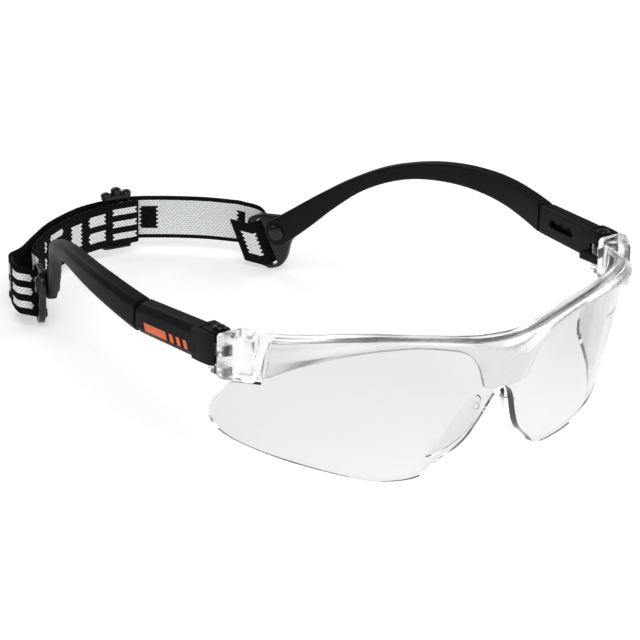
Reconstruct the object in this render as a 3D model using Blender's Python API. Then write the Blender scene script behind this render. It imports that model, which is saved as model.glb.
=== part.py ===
"""Sports protective goggles: a clear wrap-round shield in a half-rim brow frame, folding temples
whose arms slide in their housings, and a webbing strap on two swivelling carriers.

Millimetres here, metres in Blender. The wearer looks along -Y, +X is the wearer's left and +Z
is up. The goggles stand as they lie on a table: on the lens bottoms and the strap carriers.
"""
import math
import bmesh
import bpy
from mathutils import Vector

MM = 0.001

# ---- driving dimensions (mm) ----------------------------------------------------------------
FRAME_SHIFT_Y = -66.1          # moves the goggles so that the origin is under their middle
WRAP_HALF_WIDTH = 68.4         # where the plan curve of the shield turns straight back
WRAP_DEPTH = 50.0
WRAP_POWER = 3.8
WRAP_FRONT_Y = -34.7           # shield at the middle, at WRAP_MID_Z
WRAP_MID_Z = 24.0
WRAP_TILT = -0.21              # y per mm of height: the bottom edge comes back towards the face
SIDE_LEAN = 0.18               # sides lean out upwards, x per mm of height
SIDE_BULGE = 4.0               # and belly out at WRAP_MID_Z
SIDE_BULGE_HEIGHT = 20.0
LENS_THICKNESS = 2.2
TOUCH_GAP = 0.3                # clearance between pieces that lie against each other

NOSE_APEX_Z = 26.7
NOSE_BULGE = 5.0               # the bridge stands this far ahead of the plan curve
NOSE_BULGE_WIDTH = 16.0
BROW_END = 75.0                # measured along the wrap, from the middle
BROW_FRONT = (2.4, 3.2)        # brow's front face, out from the shield's: middle and ends
BROW_WALL = (0.4, 1.6)         # brow behind the shield's back face: middle and ends
END_PIECE_TOP = 47.5
END_PIECE_GAP = 0.35           # from the end-piece to the turning prongs

HINGE = Vector((70.8, -1.3, 0.0))
HINGE_RADIUS = 3.1
PIN_RADIUS = 0.9
PIN_CLEARANCE = 0.05
SCREW_HEAD_RADIUS = 1.9
SCREW_HEAD_HEIGHT = 0.95
UPPER_PRONG_Z = (43.4, 46.6)
KNUCKLE_Z = (40.0, 43.1)
LOWER_PRONG_Z = (37.2, 39.7)
PRONG_EASE = 0.05              # prongs are this much smaller than the knuckles
LUG_Z = (34.4, 36.9)

HOUSING_START = Vector((73.0, 3.2, 41.9))
HOUSING_END = Vector((75.4, 29.0, 41.9))
HOUSING_HEIGHT = (9.8, 9.0)
HOUSING_THICKNESS = 6.2
HOUSING_CHAMFER = 1.5
ARM_CHAMFER = 1.1
CHEEK_X = (74.15, 76.0)
TONGUE_HEIGHT = 4.4
TONGUE_THICKNESS = 2.4
TONGUE_LENGTH = 18.0
RATCHET_SLOT = (12.0, 5.0, 2.0)    # length, depth and height
RATCHET_SLOT_SETBACK = 11.0        # its middle, ahead of the housing's rear end
NUB = (1.8, 1.4, 1.4)
NUB_SETBACK = 13.0

STUD_CENTRE = Vector((44.6, 127.6, 14.8))
STUD_HOLE_RADIUS = 1.8
STUD_RADIUS = 1.72
STUD_HEAD_RADIUS = 2.7
STUD_HEAD_HEIGHT = 0.9
TIP_RADIUS = 4.7
ARM_TIP_THICKNESS = 3.2

STRAP_WIDTH = 15.0
STRAP_THICKNESS = 1.0
STRAP_MID_Z = 11.6

COLOURS = {
    "clear_frame": ((0.93, 0.95, 0.96), 0.06, 0.0),
    "clear_lens": ((0.96, 0.97, 0.98), 0.03, 0.0),
    "soft_clear": ((0.88, 0.90, 0.91), 0.20, 0.0),
    "black_plastic": ((0.012, 0.012, 0.013), 0.38, 0.0),
    "gloss_black": ((0.010, 0.010, 0.011), 0.18, 0.0),
    "screw_steel": ((0.06, 0.06, 0.062), 0.35, 1.0),
    "webbing": ((0.55, 0.56, 0.56), 0.85, 0.0),
}


# ---- helpers --------------------------------------------------------------------------------
def clear_scene():
    for item in list(bpy.data.objects):
        bpy.data.objects.remove(item, do_unlink=True)


def make_material(slot):
    colour, roughness, metallic = COLOURS[slot]
    material = bpy.data.materials.get(slot) or bpy.data.materials.new(slot)
    material.use_nodes = True
    shader = material.node_tree.nodes["Principled BSDF"]
    shader.inputs["Base Color"].default_value = (*colour, 1.0)
    shader.inputs["Roughness"].default_value = roughness
    shader.inputs["Metallic"].default_value = metallic
    return material


def mesh_object(name, points, faces, slot, origin=Vector((0, 0, 0))):
    """A closed mesh from points in mm, with its origin at a given place in mm."""
    mesh = bpy.data.meshes.new(name)
    mesh.from_pydata([(Vector(p) - origin) * MM for p in points], [], faces)
    mesh.update()
    item = bpy.data.objects.new(name, mesh)
    item.location = origin * MM
    item.data.materials.append(make_material(slot))
    bpy.context.scene.collection.objects.link(item)
    item.parent = ROOT
    return item


def loft(name, rings, slot, origin=Vector((0, 0, 0))):
    """Rings of equal point count, joined in order and closed with a cap at each end."""
    count = len(rings[0])
    points = [p for ring in rings for p in ring]
    faces = [list(range(count))[::-1]]
    for k in range(len(rings) - 1):
        for i in range(count):
            j = (i + 1) % count
            faces.append((k * count + i, k * count + j, (k + 1) * count + j, (k + 1) * count + i))
    faces.append(list(range((len(rings) - 1) * count, len(rings) * count)))
    item = mesh_object(name, points, faces, slot, origin)
    outward(item)
    return item


def outward(item):
    work = bmesh.new()
    work.from_mesh(item.data)
    bmesh.ops.recalc_face_normals(work, faces=work.faces)
    work.to_mesh(item.data)
    work.free()
    item.data.shade_smooth()
    item.data.set_sharp_from_angle(angle=math.radians(32))


def round_bar(name, centre, axis, radius, length, slot, segments=32):
    """A cylinder centred on a point."""
    axis = Vector(axis).normalized()
    side = axis.orthogonal().normalized()
    other = axis.cross(side)
    rings = []
    for end in (-0.5, 0.5):
        middle = Vector(centre) + axis * length * end
        turn = [2 * math.pi * k / segments for k in range(segments)]
        rings.append([middle + (side * math.cos(a) + other * math.sin(a)) * radius for a in turn])
    return loft(name, rings, slot)


def block(name, low, high, slot):
    corners = [(x, y, z) for z in (low[2], high[2]) for x, y in
               ((low[0], low[1]), (high[0], low[1]), (high[0], high[1]), (low[0], high[1]))]
    return loft(name, [corners[:4], corners[4:]], slot)


def hide_tool(item):
    item.hide_render = True
    item.display_type = "WIRE"
    item.hide_set(True)


def combine(target, tool, operation):
    """Boolean with the EXACT solver; the tool stays as a hidden guide."""
    step = target.modifiers.new(tool.name, "BOOLEAN")
    step.operation = operation
    step.solver = "EXACT"
    step.object = tool
    hide_tool(tool)


def mirrored(points, sign):
    """Points for the wearer's left (+1) or right (-1) side."""
    return [Vector((p[0] * sign, p[1], p[2])) for p in points]


def smooth(value, low, high):
    t = min(max((value - low) / (high - low), 0.0), 1.0)
    return t * t * (3 - 2 * t)


def through(knots, value):
    """Value between (position, value) knots, along straight lines."""
    if value <= knots[0][0]:
        return knots[0][1]
    for (a, va), (b, vb) in zip(knots, knots[1:]):
        if value <= b:
            t = (value - a) / (b - a)
            return va + (vb - va) * t
    return knots[-1][1]


def curve_through(points, count):
    """Evenly parametrised Catmull-Rom curve through hand-set points."""
    pts = [Vector(p) for p in points]
    pts = [pts[0] * 2 - pts[1]] + pts + [pts[-1] * 2 - pts[-2]]
    spans = len(pts) - 3
    out = []
    for k in range(count):
        s = k / (count - 1) * spans
        i = min(int(s), spans - 1)
        t = s - i
        a, b, c, d = pts[i:i + 4]
        out.append(0.5 * ((2 * b) + (c - a) * t + (2 * a - 5 * b + 4 * c - d) * t * t
                          + (3 * b - a - 3 * c + d) * t ** 3))
    return out


# ---- the wrap surface -------------------------------------------------------------------------
def plan_curve():
    """Plan of the shield as (length along it, x, y): a superellipse with a bulge at the bridge."""
    steps = 400
    table = [(0.0, 0.0, WRAP_FRONT_Y - NOSE_BULGE)]
    for k in range(1, steps + 1):
        across = math.sin(math.pi / 2 * k / steps)
        x = WRAP_HALF_WIDTH * across
        y = WRAP_FRONT_Y + WRAP_DEPTH * (1 - math.sqrt(max(1 - across ** WRAP_POWER, 0.0)))
        y -= NOSE_BULGE * math.exp(-(x / NOSE_BULGE_WIDTH) ** 2)
        length = table[-1][0] + math.hypot(x - table[-1][1], y - table[-1][2])
        table.append((length, x, y))
    return table


PLAN = plan_curve()


def plan_at(along):
    """x and y at a length along the plan curve."""
    low, high = 0, len(PLAN) - 1
    while high - low > 1:
        middle = (low + high) // 2
        if PLAN[middle][0] > along:
            high = middle
        else:
            low = middle
    a, b = PLAN[low], PLAN[high]
    t = (along - a[0]) / (b[0] - a[0])
    return a[1] + (b[1] - a[1]) * t, a[2] + (b[2] - a[2]) * t


def wrap_normal(along):
    """Level direction that points out of the shield's front."""
    step = 0.4
    near = plan_at(max(abs(along) - step, 0.0))
    far = plan_at(abs(along) + step)
    run = Vector((far[0] - near[0], far[1] - near[1], 0)).normalized()
    side = 1 if along >= 0 else -1
    return Vector((run.y * side, -run.x, 0))


def wrap_point(along, z, offset=0.0):
    """Place on the shield's front: length along the wrap, height, and offset outwards."""
    x, y = plan_at(abs(along))
    rise = z - WRAP_MID_Z
    belly = SIDE_BULGE * (1 - (rise / SIDE_BULGE_HEIGHT) ** 2)
    x += (SIDE_LEAN * rise + belly) * smooth(abs(along), 45, 85)
    side = 1 if along >= 0 else -1
    return Vector((x * side, y + WRAP_TILT * rise, z)) + wrap_normal(along) * offset


BROW_TOP = ((0, 43.9), (9, 43.9), (17, 44.6), (26, 46.2), (35, 47.9), (44, 49.2), (52, 49.6), (61, 49.0),
            (70, 47.8), (79, 47.2))
BROW_DEEP = ((0, 17.0), (7.0, 16.6), (10.5, 9.4), (14, 5.4), (18.5, 4.0), (30, 3.4), (42, 4.4), (54, 6.6),
             (64, 9.6), (72, 12.6), (79, 13.4))
BROW_CREASE = ((0, 7.4), (5, 6.6), (10, 4.6), (15, 3.0), (22, 2.2), (32, 2.0), (40, 2.6), (50, 4.0),
               (58, 5.2), (66, 5.6), (79, 5.4))
LENS_OUTER = ((0.0, 27.2), (0.4, 31.0), (0.9, 34.0), (2.0, 38.6), (3.7, 43.9), (6.4, 53.1), (8.3, 61.1),
              (10.0, 68.3), (11.5, 74.7), (12.6, 79.4), (14.5, 84.0), (16.0, 85.9), (17.9, 86.9),
              (20.0, 87.2), (22.1, 86.7), (26.2, 84.0), (29.9, 81.4), (32.4, 80.6), (33.0, 71.2),
              (50.0, 71.2))
LENS_INNER = ((0.0, 24.6), (0.4, 22.0), (1.2, 20.3), (2.7, 19.0), (4.2, 17.4), (6.0, 15.2), (8.5, 12.0),
              (11.4, 9.5), (15.4, 7.3), (20.9, 4.8), (24.4, 3.0), (NOSE_APEX_Z, 0.0))
LENS_SHOULDER_Z = 33.0         # above it the shield is tucked in beside the end-piece
LENS_TOP_END = 71.8            # where the brow's lip over the shield ends
BROW_LIP = 1.7                 # height of that lip


def brow_top(along):
    return through(BROW_TOP, abs(along))


def brow_bottom(along):
    return brow_top(along) - through(BROW_DEEP, abs(along))


# ---- front ------------------------------------------------------------------------------------
def build_front_frame():
    """Brow bar: scooped top face above a crease, lip over the lens, growing into the end-pieces."""
    rings = []
    half = [2.5 * k for k in range(29)] + [LENS_TOP_END - 0.1, LENS_TOP_END + 0.1, BROW_END]
    for along in [-value for value in half[:0:-1]] + half:
        top, bottom = brow_top(along), brow_bottom(along)
        front = BROW_FRONT[0] + (BROW_FRONT[1] - BROW_FRONT[0]) * smooth(abs(along), 55, 72)
        wall = BROW_WALL[0] + (BROW_WALL[1] - BROW_WALL[0]) * smooth(abs(along), 60, 74)
        back = -(LENS_THICKNESS + TOUCH_GAP + wall)
        lip = top - BROW_LIP if abs(along) < LENS_TOP_END else bottom + 0.3
        crease = top - min(through(BROW_CREASE, abs(along)), top - bottom - 0.9)
        middle = (front + back) / 2 + 0.2
        section = [(TOUCH_GAP, bottom), (front - 1.1, bottom), (front - 0.2, (bottom + crease) / 2),
                   (front - 0.3, crease + 0.3), (middle, (top + crease) / 2 + 0.1),
                   (back + 0.9, top - 0.05), (back, top - 0.6), (back, lip), (TOUCH_GAP, lip),
                   (TOUCH_GAP, (lip * 2 + bottom) / 3), (TOUCH_GAP, (lip + bottom * 2) / 3)]
        rings.append([wrap_point(along, z, offset) for offset, z in section])
    frame = loft("front_frame", rings, "clear_frame")
    for sign, side in ((1, "left"), (-1, "right")):
        add_end_piece(frame, sign, side)
    return frame


def add_end_piece(frame, sign, side):
    """Solid block behind the brow's end, and the two clear hinge knuckles."""
    end = wrap_point(BROW_END, 41.0)
    out = wrap_normal(BROW_END)
    back = Vector((out.y, -out.x, 0)) * 2.5
    block_rear = HINGE.y - HINGE_RADIUS - END_PIECE_GAP
    plan = [(end + out * 3.0 + back)[:2], (74.6, -8.0), (75.0, -6.2), (74.3, block_rear), (65.2, block_rear),
            (end - out * 3.7 + back * 0.3)[:2]]
    low, high = LUG_Z[0] - 0.2, END_PIECE_TOP
    plan = mirrored([(x, y, 0) for x, y in plan], sign)
    rings = [[p + Vector((0, 0, z)) for p in plan] for z in (low, high)]
    combine(frame, loft("tool_end_" + side, rings, "clear_frame"), "UNION")
    centre = Vector((HINGE.x * sign, HINGE.y, 0))
    neck_half = HINGE_RADIUS * 0.9
    for label, (z0, z1) in (("knuckle", KNUCKLE_Z), ("lug", LUG_Z)):
        middle = centre + Vector((0, 0, (z0 + z1) / 2))
        barrel = round_bar(f"tool_{label}_{side}", middle, (0, 0, 1), HINGE_RADIUS, z1 - z0,
                           "clear_frame")
        combine(frame, barrel, "UNION")
        neck = block(f"tool_{label}_neck_{side}", (centre.x - neck_half, block_rear - 0.8, z0),
                     (centre.x + neck_half, centre.y, z1), "clear_frame")
        combine(frame, neck, "UNION")
    bore = round_bar("tool_bore_" + side, centre + Vector((0, 0, 39)), (0, 0, 1),
                     PIN_RADIUS + PIN_CLEARANCE, 24.0, "clear_frame")
    combine(frame, bore, "DIFFERENCE")


def build_lens():
    """One-piece shield: rows up the lens, from the nose edge out to the side edge."""
    heights = [0.0, 0.4, 0.9, 2.0, 3.2, 5.0, 6.6, 8.3, 10, 11.5, 13.0, 14.5, 16, 18, 20, 22.1, 24.2,
               NOSE_APEX_Z, 28, 30.4, 32.4, LENS_SHOULDER_Z, 36, 39]
    columns = 24
    points, faces, index = [], [], {}

    def corner(row, side, column):
        z = heights[row]
        inner, outer = through(LENS_INNER, z), through(LENS_OUTER, z)
        if inner == 0.0 and column == 0:
            side = 1
        key = (row, side, column)
        if key not in index:
            x = inner + (outer - inner) * column / columns
            top_room = brow_top(x) - BROW_LIP - TOUCH_GAP
            above = max(z - LENS_SHOULDER_Z, 0.0) / (heights[-1] - LENS_SHOULDER_Z)
            height = min(z, LENS_SHOULDER_Z) + (top_room - LENS_SHOULDER_Z) * above
            index[key] = len(points)
            points.append((x * side, height))
        return index[key]

    for row in range(len(heights) - 1):
        for side in (1, -1):
            for column in range(columns):
                quad = [corner(row, side, column), corner(row, side, column + 1),
                        corner(row + 1, side, column + 1), corner(row + 1, side, column)]
                if len(set(quad)) > 2:
                    faces.append(list(dict.fromkeys(quad)))
    count = len(points)
    solid = [wrap_point(x, z) for x, z in points]
    solid += [wrap_point(x, z, -LENS_THICKNESS) for x, z in points]
    skins = faces + [[i + count for i in face[::-1]] for face in faces]
    undirected = {}
    for face in faces:
        for a, b in zip(face, face[1:] + face[:1]):
            undirected.setdefault(frozenset((a, b)), []).append((a, b))
    rim = [pair[0] for pair in undirected.values() if len(pair) == 1]
    skins += [[a, a + count, b + count, b] for a, b in rim]
    lens = mesh_object("lens_shield", solid, skins, "clear_lens")
    outward(lens)
    return lens


PAD_LOW = 4.5
PAD_HEIGHT = 18.5
PAD_HALF_WIDTH = 2.9
PAD_HALF_THICKNESS = 0.75
PAD_SETBACK = Vector((0.7, 3.6, 0))    # from the shield's nose edge to the pad's middle
PAD_TURN = math.radians(60)            # leaf's direction in plan, from across the nose
STEM_Z = 19.0
STEM_RADIUS = 1.2


def build_nose_pad(sign, side):
    """Soft clear leaf behind the nose edge of the lens, with a stem up to the shield."""
    rings = []
    along = Vector((math.cos(PAD_TURN), math.sin(PAD_TURN), 0))
    across = Vector((along.y, -along.x, 0))
    count = 12
    leaf = ((-1, -0.6), (-0.5, -1), (0.5, -1), (1, -0.6), (1, 0.6), (0.5, 1), (-0.5, 1), (-1, 0.6))
    for k in range(count + 1):
        t = k / count
        z = PAD_LOW + PAD_HEIGHT * t
        half = PAD_HALF_WIDTH * math.sqrt(max(1 - (2 * t - 1) ** 2, 0.06))
        middle = wrap_point(through(LENS_INNER, z), z, -LENS_THICKNESS) + PAD_SETBACK
        rings.append(mirrored([middle + along * half * u + across * PAD_HALF_THICKNESS * v
                               for u, v in leaf], sign))
    pad = loft("nose_pad_" + side, rings, "soft_clear")
    edge = through(LENS_INNER, STEM_Z)
    start = wrap_point(edge + 2.2, STEM_Z, -LENS_THICKNESS - TOUCH_GAP - 1.1)
    finish = wrap_point(edge, STEM_Z, -LENS_THICKNESS) + Vector((0.5, 3.6, -1.0))
    stem = round_bar("tool_stem_" + side, mirrored([(start + finish) / 2], sign)[0],
                     mirrored([finish - start], sign)[0], STEM_RADIUS, (finish - start).length,
                     "soft_clear", 20)
    combine(pad, stem, "UNION")
    return pad


# ---- temples ----------------------------------------------------------------------------------
def slide_direction(sign):
    run = HOUSING_END - HOUSING_START
    return mirrored([run.normalized()], sign)[0]


def housing_frame(sign, t):
    """Middle of the housing at t along it, with its across and up directions."""
    start, end = mirrored([HOUSING_START, HOUSING_END], sign)
    run = (end - start).normalized()
    across = Vector((run.y, -run.x, 0)).normalized() * sign
    return start.lerp(end, t), across, across.cross(run).normalized() * sign


def box_section(middle, across, up, thickness, height, chamfer):
    """Octagon: flat outer and inner faces with chamfered edges."""
    a, b = thickness / 2, height / 2
    c = chamfer
    outline = [(a, -b + c), (a, b - c), (a - c, b), (-a + c * 0.5, b), (-a, b - c * 0.5),
               (-a, -b + c * 0.5), (-a + c * 0.5, -b), (a - c, -b)]
    return [middle + across * u + up * v for u, v in outline]


def build_housing(sign, side, pivot):
    """Hollow sleeve with two hinge prongs in front and a ratchet slot in its inner wall."""
    rings = []
    for k in range(9):
        t = k / 8
        middle, across, up = housing_frame(sign, t)
        height = HOUSING_HEIGHT[0] + (HOUSING_HEIGHT[1] - HOUSING_HEIGHT[0]) * t
        rings.append(box_section(middle, across, up, HOUSING_THICKNESS, height, HOUSING_CHAMFER))
    housing = loft("temple_housing_" + side, rings, "black_plastic", pivot)
    middle, across, up = housing_frame(sign, 1.0)
    run = slide_direction(sign)
    depth = TONGUE_LENGTH + 2.0
    cavity = oblong(f"tool_cavity_{side}", middle - run * (depth / 2 - 1), run, across, up,
                    depth + 2, TONGUE_THICKNESS + 2 * TOUCH_GAP, TONGUE_HEIGHT + 2 * TOUCH_GAP)
    combine(housing, cavity, "DIFFERENCE")
    slot = oblong(f"tool_slot_{side}", middle - run * RATCHET_SLOT_SETBACK - across * 3.0, run, across, up,
                  *RATCHET_SLOT)
    combine(housing, slot, "DIFFERENCE")
    for label, (z0, z1) in (("upper", UPPER_PRONG_Z), ("lower", LOWER_PRONG_Z)):
        add_prong(housing, sign, side, label, z0, z1)
    add_cheek(housing, sign, side)
    bore = round_bar("tool_prong_bore_" + side, (HINGE.x * sign, HINGE.y, 41), (0, 0, 1),
                     PIN_RADIUS + PIN_CLEARANCE, 16.0, "black_plastic")
    combine(housing, bore, "DIFFERENCE")
    return housing


def add_cheek(housing, sign, side):
    """Outer wall of the housing that runs forward over the hinge."""
    middle = (CHEEK_X[0] + CHEEK_X[1]) / 2
    front, rear = HINGE.y - 2.6, HOUSING_START.y + 1.5
    plan = mirrored([(CHEEK_X[0], front, 0), (middle - 0.4, front - 0.15, 0), (middle + 0.3, front + 0.5, 0),
                     (CHEEK_X[1] - 0.1, HINGE.y + 0.6, 0), (CHEEK_X[1] + 0.15, rear, 0),
                     (CHEEK_X[0], rear, 0)], sign)
    half = HOUSING_HEIGHT[0] / 2 - 0.5
    rings = [[p + Vector((0, 0, HOUSING_START.z + end)) for p in plan] for end in (-half, half)]
    combine(housing, loft("tool_cheek_" + side, rings, "black_plastic"), "UNION")


def oblong(name, middle, run, across, up, length, thickness, height, slot="black_plastic"):
    """Box along a direction."""
    rings = []
    for end in (-0.5, 0.5):
        centre = middle + run * length * end
        rings.append([centre + across * thickness * u + up * height * v for u, v in
                      ((-0.5, -0.5), (0.5, -0.5), (0.5, 0.5), (-0.5, 0.5))])
    return loft(name, rings, slot)


def add_prong(housing, sign, side, label, z0, z1):
    """Flat finger round the hinge axis, joined to the housing's front."""
    reach = HOUSING_START.y + 2.0
    plan = []
    for k in range(17):
        turn = math.pi + math.pi * k / 16
        plan.append((HINGE.x + (HINGE_RADIUS - PRONG_EASE) * math.cos(turn),
                     HINGE.y + (HINGE_RADIUS - PRONG_EASE) * math.sin(turn)))
    plan += [(HINGE.x + HINGE_RADIUS - PRONG_EASE, reach), (HINGE.x - HINGE_RADIUS + PRONG_EASE, reach)]
    rings = [mirrored([(x, y, z) for x, y in plan], sign) for z in (z0, z1)]
    prong = loft(f"tool_prong_{label}_{side}", rings, "black_plastic")
    combine(housing, prong, "UNION")


ARM_ROUTE = ((75.5, 30.2, 41.9), (76.1, 38, 43.4), (76.2, 47, 44.9), (75.4, 56, 45.8), (73.4, 66, 46.1),
             (70.4, 76, 45.4), (67.0, 86, 43.4), (62.8, 95, 40.2), (57.8, 104, 35.0), (52.6, 112, 28.4),
             (48.2, 120, 21.2))
ARM_HEIGHT = ((0.0, 9.0), (0.18, 7.9), (0.30, 6.9), (0.42, 5.9), (0.53, 5.1), (0.66, 5.0), (0.78, 6.2),
              (0.88, 7.8), (1.0, 9.2))
ARM_THICKNESS = ((0.0, 6.0), (0.3, 5.0), (0.7, 3.8), (1.0, ARM_TIP_THICKNESS))


def tip_frame(sign):
    """Direction of the arm at its tip, its outward side and its stud axis."""
    run = (STUD_CENTRE - Vector(ARM_ROUTE[-1])).normalized()
    level = Vector((run.x, run.y, 0)).normalized()
    outward_side = Vector((level.y, -level.x, 0))
    return mirrored([run], sign)[0], mirrored([outward_side], sign)[0]


def build_arm(sign, side, pivot):
    """Sliding rear arm: tongue, tapering bow with chamfered edges, round tip with a hole."""
    route = [Vector(p) for p in ARM_ROUTE] + [STUD_CENTRE]
    route = curve_through(route, 34)
    rings = []
    last = len(route) - 1
    for k, place in enumerate(route):
        t = k / last
        ahead = route[min(k + 1, last)] - route[max(k - 1, 0)]
        if k == 0:
            ahead = HOUSING_END - HOUSING_START
        run = ahead.normalized()
        across = Vector((run.y, -run.x, 0)).normalized()
        up = across.cross(run).normalized()
        rings.append(mirrored(box_section(place, across, up, through(ARM_THICKNESS, t),
                                          through(ARM_HEIGHT, t), ARM_CHAMFER), sign))
    arm = loft("temple_arm_" + side, rings, "black_plastic", pivot)
    run, out = tip_frame(sign)
    centre = mirrored([STUD_CENTRE], sign)[0]
    disc = round_bar("tool_tip_" + side, centre, out, TIP_RADIUS, ARM_TIP_THICKNESS, "black_plastic", 40)
    combine(arm, disc, "UNION")
    middle, across, up = housing_frame(sign, 1.0)
    forward = slide_direction(sign)
    tongue = oblong("tool_tongue_" + side, middle - forward * (TONGUE_LENGTH / 2 - 2), forward, across,
                    up, TONGUE_LENGTH, TONGUE_THICKNESS, TONGUE_HEIGHT)
    combine(arm, tongue, "UNION")
    nub = oblong("tool_nub_" + side, middle - forward * NUB_SETBACK - across * 1.6, forward, across, up,
                 *NUB)
    combine(arm, nub, "UNION")
    hole = round_bar("tool_tip_hole_" + side, centre, out, STUD_HOLE_RADIUS, 12.0, "black_plastic")
    combine(arm, hole, "DIFFERENCE")
    return arm


# ---- strap ------------------------------------------------------------------------------------
CARRIER_TILT = math.radians(24)
CARRIER_SLOT = (6.2, 9.4)      # slot, measured from the stud along the carrier
CARRIER_REACH = 12.2           # stud to the far edge of the slot's bar
CARRIER_THICKNESS = 2.2
SLOT_DROP = 2.4                # middle of the slot, below the stud


def carrier_frame(sign):
    """Place on the arm tip's outer side, direction along the carrier, and its slot direction."""
    _, out = tip_frame(sign)
    level = Vector((out.y, -out.x, 0)) * sign
    if level.y < 0:
        level = -level
    along = level * math.cos(CARRIER_TILT) - Vector((0, 0, 1)) * math.sin(CARRIER_TILT)
    rise = Vector((0, 0, 1)) * math.cos(CARRIER_TILT) + level * math.sin(CARRIER_TILT)
    centre = mirrored([STUD_CENTRE], sign)[0]
    face = centre + out * (ARM_TIP_THICKNESS / 2 + TOUCH_GAP + CARRIER_THICKNESS / 2)
    return face, out, along, rise


def build_carrier(sign, side, pivot):
    face, out, along, rise = carrier_frame(sign)
    outline = [(-4.7, 1.2), (-3.2, 3.8), (0.0, 5.0), (4.0, 6.4), (6.0, 7.2), (10.6, 7.2),
               (CARRIER_REACH, 5.6), (CARRIER_REACH, -9.6), (10.2, -11.6), (5.6, -11.8),
               (2.4, -9.6), (-1.0, -5.0), (-3.4, -3.4), (-4.7, -1.2)]
    rings = [[face + out * CARRIER_THICKNESS * w + along * u + rise * v for u, v in outline]
             for w in (-0.5, 0.5)]
    carrier = loft("strap_carrier_" + side, rings, "gloss_black", pivot)
    slot = oblong("tool_slot_in_carrier_" + side, face + along * sum(CARRIER_SLOT) / 2 - rise * SLOT_DROP,
                  along, out, rise, CARRIER_SLOT[1] - CARRIER_SLOT[0], 8.0, STRAP_WIDTH + 1.2)
    combine(carrier, slot, "DIFFERENCE")
    hole = round_bar("tool_carrier_hole_" + side, face, out, STUD_HOLE_RADIUS, 8.0, "gloss_black")
    combine(carrier, hole, "DIFFERENCE")
    return carrier


def build_stud(sign, side):
    """Rivet through the arm's tip and the carrier, with a low head at each end."""
    face, out, _, _ = carrier_frame(sign)
    inner = mirrored([STUD_CENTRE], sign)[0] - out * (ARM_TIP_THICKNESS / 2 + TOUCH_GAP)
    outer = face + out * (CARRIER_THICKNESS / 2 + TOUCH_GAP)
    span = (outer - inner).length
    stud = round_bar("carrier_stud_" + side, (inner + outer) / 2, out, STUD_RADIUS, span + 0.4,
                     "gloss_black")
    rise = out * STUD_HEAD_HEIGHT / 2
    for end, place in (("inner", inner - rise), ("outer", outer + rise)):
        head = round_bar(f"tool_stud_{end}_{side}", place, out, STUD_HEAD_RADIUS, STUD_HEAD_HEIGHT,
                         "gloss_black")
        combine(stud, head, "UNION")
    return stud


def ribbon(name, route, rises, slot, width=STRAP_WIDTH, thickness=STRAP_THICKNESS):
    """Flat webbing along a route; rises gives the direction of its width at each point."""
    rings = []
    last = len(route) - 1
    for k, place in enumerate(route):
        run = (route[min(k + 1, last)] - route[max(k - 1, 0)]).normalized()
        rise = rises[k].normalized()
        flat = run.cross(rise).normalized() * thickness / 2
        rise = rise * width / 2
        rings.append([place - rise - flat, place + rise - flat, place + rise + flat, place - rise + flat])
    return loft(name, rings, slot)


STRAP_BACK = ((44.2, 152.0), (37.8, 159.8), (28.8, 167.5), (18.4, 174.2), (11.2, 175.9), (3.0, 176.0),
              (-6.0, 174.3), (-19.7, 168.0), (-30.4, 160.2), (-40.4, 152.2))
RETURN_BACK = ((-38.8, 147.2), (-35.4, 152.8), (-26.6, 160.6), (-12.6, 168.4), (-1.0, 171.4), (8.5, 171.6))
STRAP_TAB = 5.0
# past the slot the webbing swings out in a loose loop: (along, outwards, up) from the bar
LOOSE_LOOP = {"left": ((-3.3, 1.6, 0.3), (-3.2, 4.2, 1.2), (-0.6, 6.4, 2.8), (3.4, 7.3, 4.8),
                       (7.2, 7.2, 6.8)),
              "right": ((-3.6, 1.8, 0.3), (-5.0, 4.2, 0.8), (-4.4, 6.7, 1.6), (-0.6, 7.9, 3.8),
                        (4.0, 7.9, 5.9))}
SLIDER_X = 10.6
SLIDER_BAR = 2.1
SLIDER_PITCH = 3.8
SLIDER_KNOB = 1.75
SLIDER_KNOB_REACH = (0.8, 2.1, 0.8)
SLIDER_RAIL_HEIGHT = 2.0
SLIDER_RAIL_DEPTH = 3.4
SLIDER_LAP = 6.6               # the inner layer ends this far to the left of the slider's middle
INNER_LAYER_Y = 170.9


def build_end_loop(sign, side):
    """Webbing through the slot: flat inside the bar, round its edge, and a loose loop outside."""
    face, out, along, rise = carrier_frame(sign)
    bar_half = (CARRIER_REACH - CARRIER_SLOT[1]) / 2
    bar = face - rise * SLOT_DROP + along * (CARRIER_SLOT[1] + bar_half)
    clear = TOUCH_GAP + STRAP_THICKNESS / 2
    half = CARRIER_THICKNESS / 2
    flat = [(bar_half + STRAP_TAB, -half - clear, 3.4), (bar_half, -half - clear, 0.8),
            (0, -half - clear, 0)]
    for k in range(5):
        turn = math.radians(-90 - 90 * k / 4)
        flat.append((-bar_half + clear * math.cos(turn), -half + clear * math.sin(turn), 0))
    flat += list(LOOSE_LOOP[side])
    points = [bar + along * p.x + out * p.y + rise * p.z for p in curve_through(flat, 33)]
    upright = Vector((0, 0, 1))
    rises = [rise.lerp(upright, smooth(k / (len(points) - 1), 0.5, 0.97)) for k in range(len(points))]
    ribbon("strap_loop_" + side, points, rises, "webbing")
    return points, rise


def strap_run(name, first, last, plan, turn_in):
    """Upright webbing that untwists from the loop at its start."""
    (start, start_way, start_rise), (finish, finish_way, upright) = first, last
    knots = [start + start_way * 0.5, start + start_way * 3.0]
    knots += [Vector((x, y, STRAP_MID_Z)) for x, y in plan]
    knots += [finish + finish_way * 3.0, finish + finish_way * 0.5]
    route = curve_through(knots, 49)
    rises = [start_rise.lerp(upright, smooth(k / (len(route) - 1), 0.0, turn_in)) for k in range(len(route))]
    ribbon(name, route, rises, "webbing")
    return route


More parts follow.
